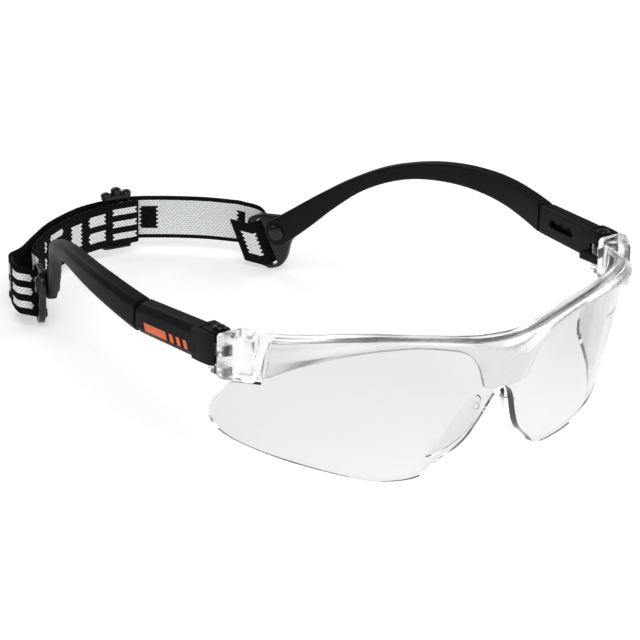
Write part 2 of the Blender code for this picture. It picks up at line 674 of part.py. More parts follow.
def leaving(points, at_end):
    """Place and direction in which a loop's end runs on."""
    if at_end:
        return points[-1], (points[-1] - points[-2]).normalized()
    return points[0], (points[0] - points[1]).normalized()


def build_strap(loops):
    """Main run round the back, and the inner layer that returns to the slider."""
    (left, _), (right, right_rise) = loops["left"], loops["right"]
    upright = Vector((0, 0, 1))
    start, start_way = leaving(left, True)
    finish, finish_way = leaving(right, True)
    route = strap_run("strap_webbing", (start, start_way, upright), (finish, finish_way, upright),
                      STRAP_BACK, 0.2)
    inner, inner_way = leaving(right, False)
    end = Vector((SLIDER_X + SLIDER_LAP, INNER_LAYER_Y, STRAP_MID_Z))
    strap_run("strap_return_layer", (inner, inner_way, right_rise), (end, Vector((-1, 0, 0)), upright),
              RETURN_BACK, 0.3)
    return route


def build_slider(place, run):
    """Slider between the strap's two layers: three knobbed bars joined by a rail above and below."""
    up = Vector((0, 0, 1))
    out = Vector((-run.y, run.x, 0)).normalized()
    if out.y < 0:
        out = -out
    place = place - out * (STRAP_THICKNESS / 2 + TOUCH_GAP + SLIDER_BAR / 2 + 0.05)
    rail_middle = STRAP_WIDTH / 2 + 0.5 + SLIDER_RAIL_HEIGHT / 2
    slider = oblong("strap_slider", place, run, out, up, SLIDER_BAR, SLIDER_BAR, 2 * rail_middle,
                    "gloss_black")
    slider.location = place * MM
    for vertex in slider.data.vertices:
        vertex.co -= place * MM
    for offset in (-SLIDER_PITCH, SLIDER_PITCH):
        bar = oblong(f"tool_slider_bar_{offset > 0}", place + run * offset, run, out, up, SLIDER_BAR,
                     SLIDER_BAR - 0.2, 2 * rail_middle - 0.4, "gloss_black")
        combine(slider, bar, "UNION")
    for end in (-1, 1):
        rail = oblong(f"tool_rail_{end + 1}", place + up * rail_middle * end, run, out, up,
                      2 * SLIDER_PITCH + 3.0, SLIDER_RAIL_DEPTH, SLIDER_RAIL_HEIGHT, "gloss_black")
        combine(slider, rail, "UNION")
        for k, reach in enumerate(SLIDER_KNOB_REACH):
            low = rail_middle - 0.5
            high = rail_middle + SLIDER_RAIL_HEIGHT / 2 + reach * (1 if end > 0 else 0.3)
            centre = place + run * SLIDER_PITCH * (k - 1) + up * (low + high) / 2 * end
            knob = round_bar(f"tool_knob_{end + 1}_{k}", centre, up, SLIDER_KNOB, high - low,
                             "gloss_black", 24)
            combine(slider, knob, "UNION")
    return slider


def build_screw(sign, side):
    centre = Vector((HINGE.x * sign, HINGE.y, 0))
    shaft_low, shaft_high = LUG_Z[0] - 0.2, UPPER_PRONG_Z[1] + 0.15
    screw = round_bar("hinge_screw_" + side, centre + Vector((0, 0, (shaft_low + shaft_high) / 2)),
                      (0, 0, 1), PIN_RADIUS, shaft_high - shaft_low, "screw_steel")
    head = round_bar("tool_screw_head_" + side, centre + Vector((0, 0, shaft_high + 0.45)), (0, 0, 1),
                     SCREW_HEAD_RADIUS, SCREW_HEAD_HEIGHT, "screw_steel")
    combine(screw, head, "UNION")


def main():
    build_front_frame()
    build_lens()
    loops = {}
    for sign, side in ((1, "left"), (-1, "right")):
        pivot = Vector((HINGE.x * sign, HINGE.y, 0))
        build_nose_pad(sign, side)
        build_screw(sign, side)
        build_housing(sign, side, pivot)
        build_arm(sign, side, pivot)
        stud_pivot = mirrored([STUD_CENTRE], sign)[0]
        build_carrier(sign, side, stud_pivot)
        build_stud(sign, side)
        loops[side] = build_end_loop(sign, side)
    route = build_strap(loops)
    k = min(range(len(route)), key=lambda i: abs(route[i].x - SLIDER_X))
    build_slider(route[k], (route[k + 1] - route[k - 1]).normalized())


clear_scene()
ROOT = bpy.data.objects.new("goggles_origin", None)
ROOT.location = Vector((0, FRAME_SHIFT_Y, 0)) * MM
bpy.context.scene.collection.objects.link(ROOT)
main()
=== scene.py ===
"""Looks for the sports protective goggles. Millimetres here, metres in Blender."""
import math
from bisect import bisect

import bmesh
import bpy
from mathutils import Matrix, Vector


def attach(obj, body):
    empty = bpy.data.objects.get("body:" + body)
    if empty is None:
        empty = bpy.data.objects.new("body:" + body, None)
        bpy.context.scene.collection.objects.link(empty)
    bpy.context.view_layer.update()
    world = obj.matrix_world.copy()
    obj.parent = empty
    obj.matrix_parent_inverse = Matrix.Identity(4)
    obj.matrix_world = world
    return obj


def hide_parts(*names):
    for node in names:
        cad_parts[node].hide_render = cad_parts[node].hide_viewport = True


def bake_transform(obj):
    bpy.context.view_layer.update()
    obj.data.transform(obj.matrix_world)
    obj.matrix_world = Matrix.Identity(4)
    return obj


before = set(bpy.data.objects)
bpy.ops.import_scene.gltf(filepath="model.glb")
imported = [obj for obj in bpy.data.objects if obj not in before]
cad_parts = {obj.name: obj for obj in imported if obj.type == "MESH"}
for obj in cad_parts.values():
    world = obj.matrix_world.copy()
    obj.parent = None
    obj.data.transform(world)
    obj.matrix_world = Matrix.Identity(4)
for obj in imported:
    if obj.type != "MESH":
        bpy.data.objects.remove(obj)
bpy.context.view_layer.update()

MM = 0.001
SHIFT_Y = -66.1                # moves the goggles so that the origin is under their middle
LEFTWARD, REARWARD, UP = Vector((1, 0, 0)), Vector((0, 1, 0)), Vector((0, 0, 1))
TOUCH_GAP = 0.3                # clearance between pieces that lie against each other
STRAP_WIDTH = 15.0
STRAP_THICKNESS = 1.0
STRAP_MID_Z = 11.6


# ---- shape helpers ----------------------------------------------------------------------------
def smooth(value, low, high):
    """Rises from 0 at low to 1 at high, level at both ends."""
    t = min(max((value - low) / (high - low), 0.0), 1.0)
    return t * t * (3 - 2 * t)


def eased(knots, value):
    """Value between (position, value) knots, with monotone cubic easing."""
    if value <= knots[0][0]:
        return knots[0][1]
    if value >= knots[-1][0]:
        return knots[-1][1]
    slopes = [(b[1] - a[1]) / (b[0] - a[0]) for a, b in zip(knots, knots[1:])]
    k = next(i for i in range(len(slopes)) if value <= knots[i + 1][0])

    def tangent(i):
        if i == 0 or i == len(knots) - 1:
            return slopes[min(i, len(slopes) - 1)]
        a, b = slopes[i - 1], slopes[i]
        return 0.0 if a * b <= 0 else 2 * a * b / (a + b)

    (x0, y0), (x1, y1) = knots[k], knots[k + 1]
    h = x1 - x0
    t = (value - x0) / h
    return ((2 * t ** 3 - 3 * t ** 2 + 1) * y0 + (t ** 3 - 2 * t ** 2 + t) * h * tangent(k)
            + (3 * t ** 2 - 2 * t ** 3) * y1 + (t ** 3 - t ** 2) * h * tangent(k + 1))


def curve_through(points, count):
    """Catmull-Rom curve through points, then spaced evenly along its length."""
    pts = [Vector(p) for p in points]
    pts = [pts[0] * 2 - pts[1]] + pts + [pts[-1] * 2 - pts[-2]]
    spans = len(pts) - 3
    fine = []
    for k in range(spans * 40 + 1):
        s = k / 40
        i = min(int(s), spans - 1)
        t = s - i
        a, b, c, d = pts[i:i + 4]
        fine.append(0.5 * ((2 * b) + (c - a) * t + (2 * a - 5 * b + 4 * c - d) * t * t
                           + (3 * b - a - 3 * c + d) * t ** 3))
    return even(fine, count)


def lengths_along(line, start=0.0):
    """Length along a line of points, at each of them."""
    lengths = [start]
    for a, b in zip(line, line[1:]):
        lengths.append(lengths[-1] + (b - a).length)
    return lengths


def even(line, count):
    """Points spaced evenly along a line of points."""
    lengths = lengths_along(line)
    out, i = [], 0
    for k in range(count):
        want = lengths[-1] * k / (count - 1)
        while i < len(line) - 2 and lengths[i + 1] < want:
            i += 1
        span = max(lengths[i + 1] - lengths[i], 1e-9)
        out.append(line[i].lerp(line[i + 1], min(max((want - lengths[i]) / span, 0.0), 1.0)))
    return out


def mirrored(points, sign):
    """Points for the wearer's left (+1) or right (-1) side."""
    return [Vector((p[0] * sign, p[1], p[2])) for p in points]


def rounded(outline, radius, steps=4):
    """A closed outline in the plane with its corners rounded; radius is one value or one per corner."""
    out = []
    count = len(outline)
    for i, corner in enumerate(outline):
        p = Vector(corner)
        r = radius[i] if isinstance(radius, (list, tuple)) else radius
        a, b = Vector(outline[i - 1]) - p, Vector(outline[(i + 1) % count]) - p
        reach = min(r, a.length * 0.48, b.length * 0.48)
        start, end = p + a.normalized() * reach, p + b.normalized() * reach
        for k in range(steps + 1):
            t = k / steps
            out.append(start * (1 - t) ** 2 + p * 2 * t * (1 - t) + end * t ** 2)
    return out


def make_mesh(name, points, faces, material, sharp=40, uvs=None):
    """A mesh from points in mm, with a UV for each point; edges over sharp degrees stay edges."""
    mesh = bpy.data.meshes.new(name)
    mesh.from_pydata([Vector((p[0], p[1] + SHIFT_Y, p[2])) * MM for p in points], [], faces)
    mesh.update()
    if uvs:
        layer = mesh.uv_layers.new(name="UVMap")
        for loop in mesh.loops:
            layer.data[loop.index].uv = uvs[loop.vertex_index]
    work = bmesh.new()
    work.from_mesh(mesh)
    bmesh.ops.recalc_face_normals(work, faces=work.faces)
    work.to_mesh(mesh)
    work.free()
    mesh.shade_smooth()
    mesh.set_sharp_from_angle(angle=math.radians(sharp))
    mesh.materials.append(material)
    return in_scene(name, mesh)


def in_scene(name, data):
    """A new object with this data, in the scene."""
    item = bpy.data.objects.new(name, data)
    bpy.context.scene.collection.objects.link(item)
    return item


def loft(name, rings, material, sharp=40, uvs=None):
    """Rings of equal point count, joined in order and closed with a cap at each end."""
    count = len(rings[0])
    points = [p for ring in rings for p in ring]
    faces = [list(range(count))[::-1]]
    for k in range(len(rings) - 1):
        for i in range(count):
            j = (i + 1) % count
            faces.append((k * count + i, k * count + j, (k + 1) * count + j, (k + 1) * count + i))
    faces.append(list(range((len(rings) - 1) * count, len(rings) * count)))
    return make_mesh(name, points, faces, material, sharp, uvs)


def plate(name, outline, base, ex, ey, thickness, edge, material, sharp=40):
    """A plate: an outline in the ex-ey plane, with rounded edges, centred on base."""
    ez = ex.cross(ey).normalized()
    flat = [Vector((p[0], p[1], 0)) for p in outline]
    area = sum(a.x * b.y - b.x * a.y for a, b in zip(flat, flat[1:] + flat[:1]))
    turn = 1 if area > 0 else -1
    inward = []
    for i, p in enumerate(flat):
        a, b = p - flat[i - 1], flat[(i + 1) % len(flat)] - p
        way = a.normalized() + b.normalized() if a.length * b.length > 0 else a + b
        inward.append(Vector((-way.y, way.x, 0)).normalized() * turn)
    rings = []
    for level, inset in edge_profile(thickness, edge):
        ring = [p + n * inset for p, n in zip(flat, inward)]
        rings.append([base + ex * p.x + ey * p.y + ez * level for p in ring])
    return loft(name, rings, material, sharp)


def edge_profile(thickness, edge, steps=4):
    """(level, inset) pairs across a plate whose edges are rounded."""
    half = thickness / 2
    out = []
    for k in range(steps + 1):
        turn = math.pi / 2 * k / steps
        out.append((-half + edge * (1 - math.sin(turn)), edge * (1 - math.cos(turn))))
    out = out[::-1]
    return out + [(-level, inset) for level, inset in out[::-1]]


def arc(radius, start, finish, steps):
    """Points of a circle about (0, 0), between two angles in degrees."""
    turns = [math.radians(start + (finish - start) * k / steps) for k in range(steps + 1)]
    return [(radius * math.cos(turn), radius * math.sin(turn)) for turn in turns]


def oblong(width, height, centre=(0.0, 0.0)):
    """Corners of a rectangle in the plane."""
    x, y = centre
    return [(x + width * u, y + height * v) for u, v in ((-0.5, -0.5), (0.5, -0.5), (0.5, 0.5), (-0.5, 0.5))]


def lathe(name, profile, centre, axis, material, count=48, sharp=35):
    """A turned piece: (radius, height) pairs about an axis through centre."""
    side = axis.orthogonal().normalized()
    other = axis.cross(side)
    rings = []
    for radius, height in profile:
        rings.append([centre + axis * height + (side * math.cos(2 * math.pi * k / count)
                      + other * math.sin(2 * math.pi * k / count)) * radius for k in range(count)])
    return loft(name, rings, material, sharp)


def capsule(name, centre, axis, radius, length, material):
    """A round bar with domed ends."""
    profile = []
    straight = length / 2 - radius
    for k in range(7):
        turn = math.pi / 2 * k / 6
        profile.append((max(radius * math.sin(turn), 0.05), -straight - radius * math.cos(turn)))
    profile += [(r, -h) for r, h in profile[::-1]]
    return lathe(name, profile, centre, axis, material, 32)


def apply_modifiers(item):
    """Makes the modified shape the item's own mesh."""
    bpy.context.view_layer.update()
    shape = bpy.data.meshes.new_from_object(item.evaluated_get(bpy.context.evaluated_depsgraph_get()))
    item.modifiers.clear()
    shape.name = item.name
    item.data = shape
    return shape


def combine(target, tool, operation, sharp=35):
    """Boolean, applied at once; the tool is removed."""
    step = target.modifiers.new("cut", "BOOLEAN")
    step.operation = operation
    step.solver = "EXACT"
    step.object = tool
    shape = apply_modifiers(target)
    bpy.data.objects.remove(tool, do_unlink=True)
    shape.shade_smooth()
    shape.set_sharp_from_angle(angle=math.radians(sharp))
    return target


def joined(name, pieces):
    """Several separate solids as one object."""
    work = bmesh.new()
    for piece in pieces:
        work.from_mesh(piece.data)
    mesh = bpy.data.meshes.new(name)
    work.to_mesh(mesh)
    work.free()
    mesh.materials.append(pieces[0].data.materials[0])
    for piece in pieces:
        bpy.data.objects.remove(piece, do_unlink=True)
    return in_scene(name, mesh)


# ---- materials --------------------------------------------------------------------------------
class Nodes:
    """Small helper that writes the node tree of a material or a world."""

    def __init__(self, name, kind="materials", shader="Principled BSDF"):
        self.owner = getattr(bpy.data, kind).new(name)
        self.owner.use_nodes = True
        self.tree = self.owner.node_tree
        self.shader = self.tree.nodes[shader]

    def set(self, **values):
        for key, value in values.items():
            self.shader.inputs[key.replace("_", " ")].default_value = value

    def add(self, kind, **props):
        node = self.tree.nodes.new(kind)
        for key, value in props.items():
            setattr(node, key, value)
        return node

    def link(self, out, into):
        self.tree.links.new(getattr(out, "socket", out), into)

    def math(self, operation, a, b=0.0, c=0.0):
        node = self.add("ShaderNodeMath", operation=operation)
        for socket, value in zip(node.inputs, (a, b, c)):
            if isinstance(value, (int, float)):
                socket.default_value = value
            else:
                self.link(value, socket)
        return node.outputs[0]

    def mix(self, factor, a, b):
        node = self.add("ShaderNodeMix", data_type="RGBA")
        for socket, value in zip((node.inputs[0], node.inputs[6], node.inputs[7]), (factor, a, b)):
            if isinstance(value, (int, float)):
                socket.default_value = value
            elif isinstance(value, tuple):
                socket.default_value = (*value, 1.0)
            else:
                self.link(value, socket)
        return node.outputs[2]

    def noise(self, scale, detail=3.0):
        node = self.add("ShaderNodeTexNoise")
        node.inputs["Scale"].default_value = scale
        node.inputs["Detail"].default_value = detail
        place = self.add("ShaderNodeTexCoord")
        self.link(place.outputs["Object"], node.inputs["Vector"])
        return node.outputs["Fac"]

    def bump(self, height, strength, distance):
        node = self.add("ShaderNodeBump")
        node.inputs["Strength"].default_value = strength
        node.inputs["Distance"].default_value = distance
        self.link(height, node.inputs["Height"])
        self.link(node.outputs["Normal"], self.shader.inputs["Normal"])


class Value:
    """A number in a node tree, so that a pattern is written as arithmetic."""

    def __init__(self, nodes, socket):
        self.nodes, self.socket = nodes, socket

    def do(self, operation, other=0.0):
        return Value(self.nodes, self.nodes.math(operation, self, other))

    def without(self):
        """1 where this is 0, and 0 where it is 1."""
        return Value(self.nodes, self.nodes.math("SUBTRACT", 1.0, self))


def operator(operation):
    """A Python operator that adds one math node."""
    return lambda value, other: value.do(operation, other)


for symbol, task in (("add", "ADD"), ("sub", "SUBTRACT"), ("mul", "MULTIPLY"), ("truediv", "DIVIDE"),
                     ("mod", "MODULO"), ("pow", "POWER"), ("gt", "GREATER_THAN"), ("lt", "LESS_THAN")):
    setattr(Value, f"__{symbol}__", operator(task))


def clear_plastic(name, tint, roughness, ior, shade):
    """Clear plastic with faint moulding waves; light passes through it instead of a black shadow."""
    n = Nodes(name)
    n.set(Base_Color=(*tint, 1), Roughness=roughness, IOR=ior, Transmission_Weight=1.0)
    n.bump(n.noise(55.0, 2.0), 0.10, 0.0006)
    wear = n.math("MULTIPLY_ADD", n.noise(900.0, 4.0), roughness * 1.5, roughness * 0.3)
    n.link(wear, n.shader.inputs["Roughness"])
    through = n.add("ShaderNodeBsdfTransparent")
    through.inputs["Color"].default_value = (shade, shade, shade, 1)
    path = n.add("ShaderNodeLightPath")
    pick = n.add("ShaderNodeMixShader")
    n.link(path.outputs["Is Shadow Ray"], pick.inputs[0])
    n.link(n.shader.outputs[0], pick.inputs[1])
    n.link(through.outputs[0], pick.inputs[2])
    n.link(pick.outputs[0], n.tree.nodes["Material Output"].inputs["Surface"])
    return n.owner


def black_plastic(name, colour, roughness, grain, shine):
    """Moulded black plastic: fine spark-eroded grain, and a slightly uneven sheen."""
    n = Nodes(name)
    n.set(Base_Color=(*colour, 1), Roughness=roughness, IOR=1.5, Specular_IOR_Level=shine)
    n.link(n.mix(n.noise(60.0), tuple(c * 0.8 for c in colour), tuple(c * 1.35 for c in colour)),
           n.shader.inputs["Base Color"])
    n.link(n.math("MULTIPLY_ADD", n.noise(140.0), 0.16, roughness - 0.08), n.shader.inputs["Roughness"])
    n.bump(n.noise(3200.0, 5.0), grain, 0.00006)
    return n.owner


def paint(name, colour):
    """Thin printed ink."""
    n = Nodes(name)
    n.set(Roughness=0.42, IOR=1.5)
    n.link(n.mix(n.noise(1500.0), tuple(c * 0.86 for c in colour), colour), n.shader.inputs["Base Color"])
    n.bump(n.noise(2600.0), 0.2, 0.00003)
    return n.owner


def steel(name):
    """Blackened steel, finely brushed."""
    n = Nodes(name)
    n.set(Base_Color=(0.035, 0.035, 0.036, 1), Metallic=1.0, Roughness=0.35)
    n.link(n.math("MULTIPLY_ADD", n.noise(2500.0), 0.25, 0.2), n.shader.inputs["Roughness"])
    n.bump(n.noise(2200.0), 0.25, 0.00004)
    return n.owner


STITCH_LONG = 1.15             # one stitch along the webbing
STITCH_WIDE = 0.72             # and across it
STITCH_SLANT = 0.45
SELVEDGE = 1.5                 # black border
WHITE_FACE_V = 100.0           # added to v on the white-ground face
FIGURE_PITCH = 34.0
SPARSE_SHARE = 10.5            # the white-ground face shows only this start of each figure
DARK_RUN = (86.0, 199.0)       # u where the white-ground face is plain black
PLAIN_RUN = (198.0, 222.0)     # u where the black-ground face has no figure


def webbing_material(name):
    """Double-faced knit, black ground with a white figure on one face and the reverse on the other.

    u is the length along the webbing and v the place across it, both in mm."""
    n = Nodes(name)
    n.set(Roughness=0.95, Specular_IOR_Level=0.08, IOR=1.4)
    uv = n.add("ShaderNodeUVMap")
    split = n.add("ShaderNodeSeparateXYZ")
    n.link(uv.outputs["UV"], split.inputs[0])
    u, v_raw = Value(n, split.outputs[0]), Value(n, split.outputs[1])
    white_side = v_raw > WHITE_FACE_V / 2
    v = v_raw - white_side * WHITE_FACE_V
    # stitches lie in oblique rows, so each row is offset by half a stitch
    row = (v / STITCH_WIDE).do("FLOOR")
    shift = row % 2.0 * 0.5
    along = u / STITCH_LONG + shift
    local_u = along.do("FRACT") - 0.5
    local_v = (v / STITCH_WIDE).do("FRACT") - 0.5
    slant = local_u + local_v * STITCH_SLANT
    dome = (slant ** 2.0 * 3.2 + local_v ** 2.0 * 3.6).do("SQRT").without()
    # the pattern is read at stitch centres, which gives it stepped edges
    cell_u = (along.do("FLOOR") - shift + 0.5) * STITCH_LONG
    cell_v = (row + 0.5) * STITCH_WIDE
    inside = (cell_v - STRAP_WIDTH / 2).do("ABSOLUTE") < STRAP_WIDTH / 2 - SELVEDGE

    def band(value, low, high):
        return (value > low) * (value < high)

    # plain figure: a broad block, then a pair of bars, then three bars
    phase = (cell_u + 100 * FIGURE_PITCH) % FIGURE_PITCH
    block = band(phase, 3.0, 8.6) * band(cell_v, 3.4, 11.6)
    pair = band(phase, 12.6, 19.6) * (band(cell_v, 3.0, 6.2) + band(cell_v, 8.8, 12.0))
    trio = band(phase, 23.0, 31.5) * (band(cell_v, 2.2, 4.4) + band(cell_v, 6.4, 8.6)
                                      + band(cell_v, 10.6, 12.8))
    figure = (block + pair + trio).do("MINIMUM", 1.0)
    black_ground = figure * inside * band(cell_u, *PLAIN_RUN).without()
    sparse = figure * (phase < SPARSE_SHARE)
    white_ground = sparse.without() * inside * band(cell_u, *DARK_RUN).without()
    white = black_ground * white_side.without() + white_ground * white_side
    # painted shade: both yarn colours are darkened from each stitch's crown towards its rim, a painted shade
    # in the gaps between the stitches
    stitch_gap_shade = (dome * 1.9).do("MAXIMUM", 0.0).do("MINIMUM", 1.0)
    light = n.mix(stitch_gap_shade, (0.62, 0.64, 0.64), (0.97, 0.985, 0.985))
    dark = n.mix(stitch_gap_shade, (0.002, 0.002, 0.002), (0.012, 0.0115, 0.0115))
    n.link(n.mix(white, dark, light), n.shader.inputs["Base Color"])
    n.bump(dome + n.math("MULTIPLY", n.noise(4000.0), 0.35), 0.8, 0.00028)
    return n.owner


CLEAR_FRAME = clear_plastic("look_clear_frame", (0.955, 0.958, 0.958), roughness=0.20, ior=1.40, shade=0.92)
CLEAR_LENS = clear_plastic("look_clear_lens", (0.765, 0.767, 0.763), roughness=0.006, ior=1.45, shade=0.93)
SOFT_CLEAR = clear_plastic("look_soft_clear", (0.93, 0.933, 0.935), roughness=0.08, ior=1.42, shade=0.90)
BLACK = black_plastic("look_black_plastic", (0.0060, 0.0058, 0.0056), roughness=0.50, grain=0.30, shine=0.11)
GLOSS = black_plastic("look_gloss_black", (0.008, 0.008, 0.0085), roughness=0.20, grain=0.10, shine=0.32)
STEEL = steel("look_screw_steel")
WEBBING = webbing_material("look_webbing")
ORANGE = paint("look_orange_print", (0.80, 0.13, 0.028))

# ---- the wrap surface -------------------------------------------------------------------------
WRAP_HALF_WIDTH = 68.4         # where the plan curve of the shield turns straight back
WRAP_DEPTH = 50.0
WRAP_POWER = 3.8
WRAP_FRONT_Y = -34.7           # shield at the middle, at WRAP_MID_Z
WRAP_MID_Z = 24.0
WRAP_TILT = -0.21              # y per mm of height: the bottom edge comes back towards the face
SIDE_LEAN = 0.18               # sides lean out upwards, x per mm of height
SIDE_BULGE = 4.0               # and belly out at WRAP_MID_Z
SIDE_BULGE_HEIGHT = 20.0
LENS_THICKNESS = 2.2
NOSE_APEX_Z = 26.7
NOSE_BULGE = 5.0               # the bridge stands this far ahead of the plan curve
NOSE_BULGE_WIDTH = 16.0
BROW_END = 75.0                # measured along the wrap, from the middle


def plan_curve():
    """Plan of the shield as (length along it, x, y): a superellipse with a bulge at the bridge."""
    steps = 2000
    table = [(0.0, 0.0, WRAP_FRONT_Y - NOSE_BULGE)]
    for k in range(1, steps + 1):
        across = math.sin(math.pi / 2 * k / steps)
        x = WRAP_HALF_WIDTH * across
        y = WRAP_FRONT_Y + WRAP_DEPTH * (1 - math.sqrt(max(1 - across ** WRAP_POWER, 0.0)))
        y -= NOSE_BULGE * math.exp(-(x / NOSE_BULGE_WIDTH) ** 2)
        length = table[-1][0] + math.hypot(x - table[-1][1], y - table[-1][2])
        table.append((length, x, y))
    return table


PLAN = plan_curve()


def plan_at(along):
    """x and y at a length along the plan curve."""
    k = min(max(bisect(PLAN, (along,)), 1), len(PLAN) - 1)
    a, b = PLAN[k - 1], PLAN[k]
    t = (along - a[0]) / (b[0] - a[0])
    return a[1] + (b[1] - a[1]) * t, a[2] + (b[2] - a[2]) * t


def wrap_normal(along):
    """Level direction that points out of the shield's front."""
    step = 0.4
    near = plan_at(max(abs(along) - step, 0.0))
    far = plan_at(abs(along) + step)
    run = Vector((far[0] - near[0], far[1] - near[1], 0)).normalized()
    side = 1 if along >= 0 else -1
    return Vector((run.y * side * smooth(abs(along), 0, 0.5), -run.x, 0)).normalized()


def wrap_point(along, z, offset=0.0):
    """Place on the shield's front: length along the wrap, height, and offset outwards."""
    x, y = plan_at(abs(along))
    rise = z - WRAP_MID_Z
    belly = SIDE_BULGE * (1 - (rise / SIDE_BULGE_HEIGHT) ** 2)
    x += (SIDE_LEAN * rise + belly) * smooth(abs(along), 45, 85)
    side = 1 if along >= 0 else -1
    return Vector((x * side, y + WRAP_TILT * rise, z)) + wrap_normal(along) * offset


BROW_TOP = ((0, 43.9), (9, 43.9), (17, 44.6), (26, 46.2), (35, 47.9), (44, 49.2), (52, 49.6), (61, 49.0),
            (70, 47.8), (79, 47.2))
BROW_DEEP = ((0, 17.0), (7.0, 16.6), (10.5, 9.4), (14, 5.4), (18.5, 4.0), (30, 3.4), (42, 4.4), (54, 6.6),
             (64, 9.6), (72, 12.6), (79, 13.4))
BROW_CREASE = ((0, 7.4), (5, 6.6), (10, 4.6), (15, 3.0), (22, 2.2), (32, 2.0), (40, 2.6), (50, 4.0),
               (58, 5.2), (66, 5.6), (79, 5.4))
LENS_OUTER = ((0.0, 27.2), (0.4, 31.0), (0.9, 34.0), (2.0, 38.6), (3.7, 43.9), (6.4, 53.1), (8.3, 61.1),
              (10.0, 68.9), (11.5, 75.6), (12.6, 80.1), (14.5, 84.6), (16.0, 86.5), (17.9, 87.6),
              (20.0, 87.9), (22.1, 87.4), (26.2, 84.8), (29.9, 81.8), (31.6, 80.6), (32.6, 78.0),
              (33.0, 71.2), (50.0, 71.2))
LENS_INNER = ((0.0, 24.6), (0.4, 22.0), (1.2, 20.3), (2.7, 19.0), (4.2, 17.4), (6.0, 15.2), (8.5, 12.0),
              (11.4, 9.5), (15.4, 7.3), (20.9, 4.8), (24.4, 3.0), (NOSE_APEX_Z, 0.0))
LENS_ROWS = (0.0, 0.15, 0.4, 0.7, 1.1, 1.6, 2.2, 3.0, 3.8, 4.7, 5.6, 6.5, 7.4, 8.3, 9.2, 10.1, 11.0, 11.8,
             12.6, 13.5, 14.5, 15.5, 16.7, 18, 19.3, 20.6, 22, 23.2, 24.4, 25.4, 26.1, 26.5, NOSE_APEX_Z,
             28, 29.5, 30.8, 31.8, 32.6, 33.0, 34.5, 36, 37.5, 39)
LENS_SHOULDER_Z = 33.0         # above it the rows are spread up to the brow's lip
LENS_TOP_END = 71.8            # where the brow's lip over the shield ends
BROW_LIP = 1.7                 # height of that lip


def brow_top(along):
    """Height of the brow's top edge."""
    return eased(BROW_TOP, abs(along))


def brow_bottom(along):
    """Height of the brow's lower edge."""
    return brow_top(along) - eased(BROW_DEEP, abs(along))


# ---- clear front ------------------------------------------------------------------------------
HINGE_X, HINGE_Y, HINGE_RADIUS = 70.8, -1.3, 3.1
KNUCKLE_HEIGHTS = ((40.0, 43.1), (34.4, 36.9))     # clear middle knuckle and lower lug
PRONG_HEIGHTS = ((43.4, 46.6), (37.2, 39.7))       # black prongs above and below the knuckle
PIN_BORE = [(0.95, 30), (0.95, 50)]
BROW_FRONT = (2.4, 3.2)        # brow's front face, out from the shield's: middle and ends
BROW_WALL = (0.4, 1.6)         # brow behind the shield's back face: middle and ends
END_PIECE_GAP = 0.35           # from the end-piece to the turning prongs
END_PIECE_MID_Z, END_PIECE_HEIGHT = 40.85, 13.2


def build_front():
    """Brow bar with a scooped top face above its crease, end-pieces and hinge knuckles."""
    step = 1.1
    half = [step * k for k in range(65)] + [LENS_TOP_END - 0.15, LENS_TOP_END + 0.15, 73.4, BROW_END]
    rings = []
    for along in [-value for value in half[:0:-1]] + half:
        top, bottom = brow_top(along), brow_bottom(along)
        crease = top - min(eased(BROW_CREASE, abs(along)), top - bottom - 0.9)
        front = BROW_FRONT[0] + (BROW_FRONT[1] - BROW_FRONT[0]) * smooth(abs(along), 55, 72)
        wall = BROW_WALL[0] + (BROW_WALL[1] - BROW_WALL[0]) * smooth(abs(along), 60, 74)
        back = -(LENS_THICKNESS + TOUCH_GAP + wall)
        lip = top - BROW_LIP if abs(along) < LENS_TOP_END else bottom + 0.3
        scoop = 0.5 * smooth(top - crease, 1.5, 6)
        middle = (front + back) / 2 + 0.2
        corners = [(TOUCH_GAP, bottom), (front - 1.1, bottom), (front, crease),
                   (middle, (top + crease) / 2 - scoop + 0.4), (back + 0.7, top), (back, top - 0.5),
                   (back, lip), (TOUCH_GAP, lip)]
        radii = [0.15, 0.7, 0.9, 2.5, 0.6, 0.4, 0.25, 0.2]
        rings.append([wrap_point(along, p.y, p.x) for p in rounded(corners, radii, 4)])
    front = loft("front_clear_brow", rings, CLEAR_FRAME, 45)
    for sign in (1, -1):
        add_end_piece(front, sign)
    return front


def add_end_piece(front, sign):
    """Block behind the brow's end, and the clear knuckles that hold the screw."""
    end = wrap_point(BROW_END, 41.0)
    out = wrap_normal(BROW_END)
    back = Vector((out.y, -out.x, 0)) * 2.5
    rear = HINGE_Y - HINGE_RADIUS - END_PIECE_GAP
    plan = [tuple((end + out * 2.9 + back)[:2]), (74.5, -8.2), (75.0, -6.4), (74.3, rear), (65.3, rear),
            tuple((end - out * 3.6 + back * 0.3)[:2])]
    outline = [(p.x * sign, p.y) for p in rounded(plan, [1.5, 2.5, 1.6, 1.4, 1.6, 1.5], 6)]
    block = plate("end", outline, UP * END_PIECE_MID_Z, LEFTWARD, REARWARD, END_PIECE_HEIGHT, 1.3,
                  CLEAR_FRAME)
    combine(front, block, "UNION")
    middle = Vector((HINGE_X * sign, HINGE_Y, 0))
    neck, root = HINGE_RADIUS * 0.92, rear - HINGE_Y - 0.9
    outline = [(-neck, root)] + arc(HINGE_RADIUS, 202, -18, 20) + [(neck, root)]
    for low, high in KNUCKLE_HEIGHTS:
        knuckle = plate("knuckle", outline, middle + UP * (low + high) / 2, LEFTWARD, REARWARD, high - low,
                        0.3, CLEAR_FRAME)
        combine(front, knuckle, "UNION")
    combine(front, lathe("bore", PIN_BORE, middle, UP, CLEAR_FRAME, 32), "DIFFERENCE")


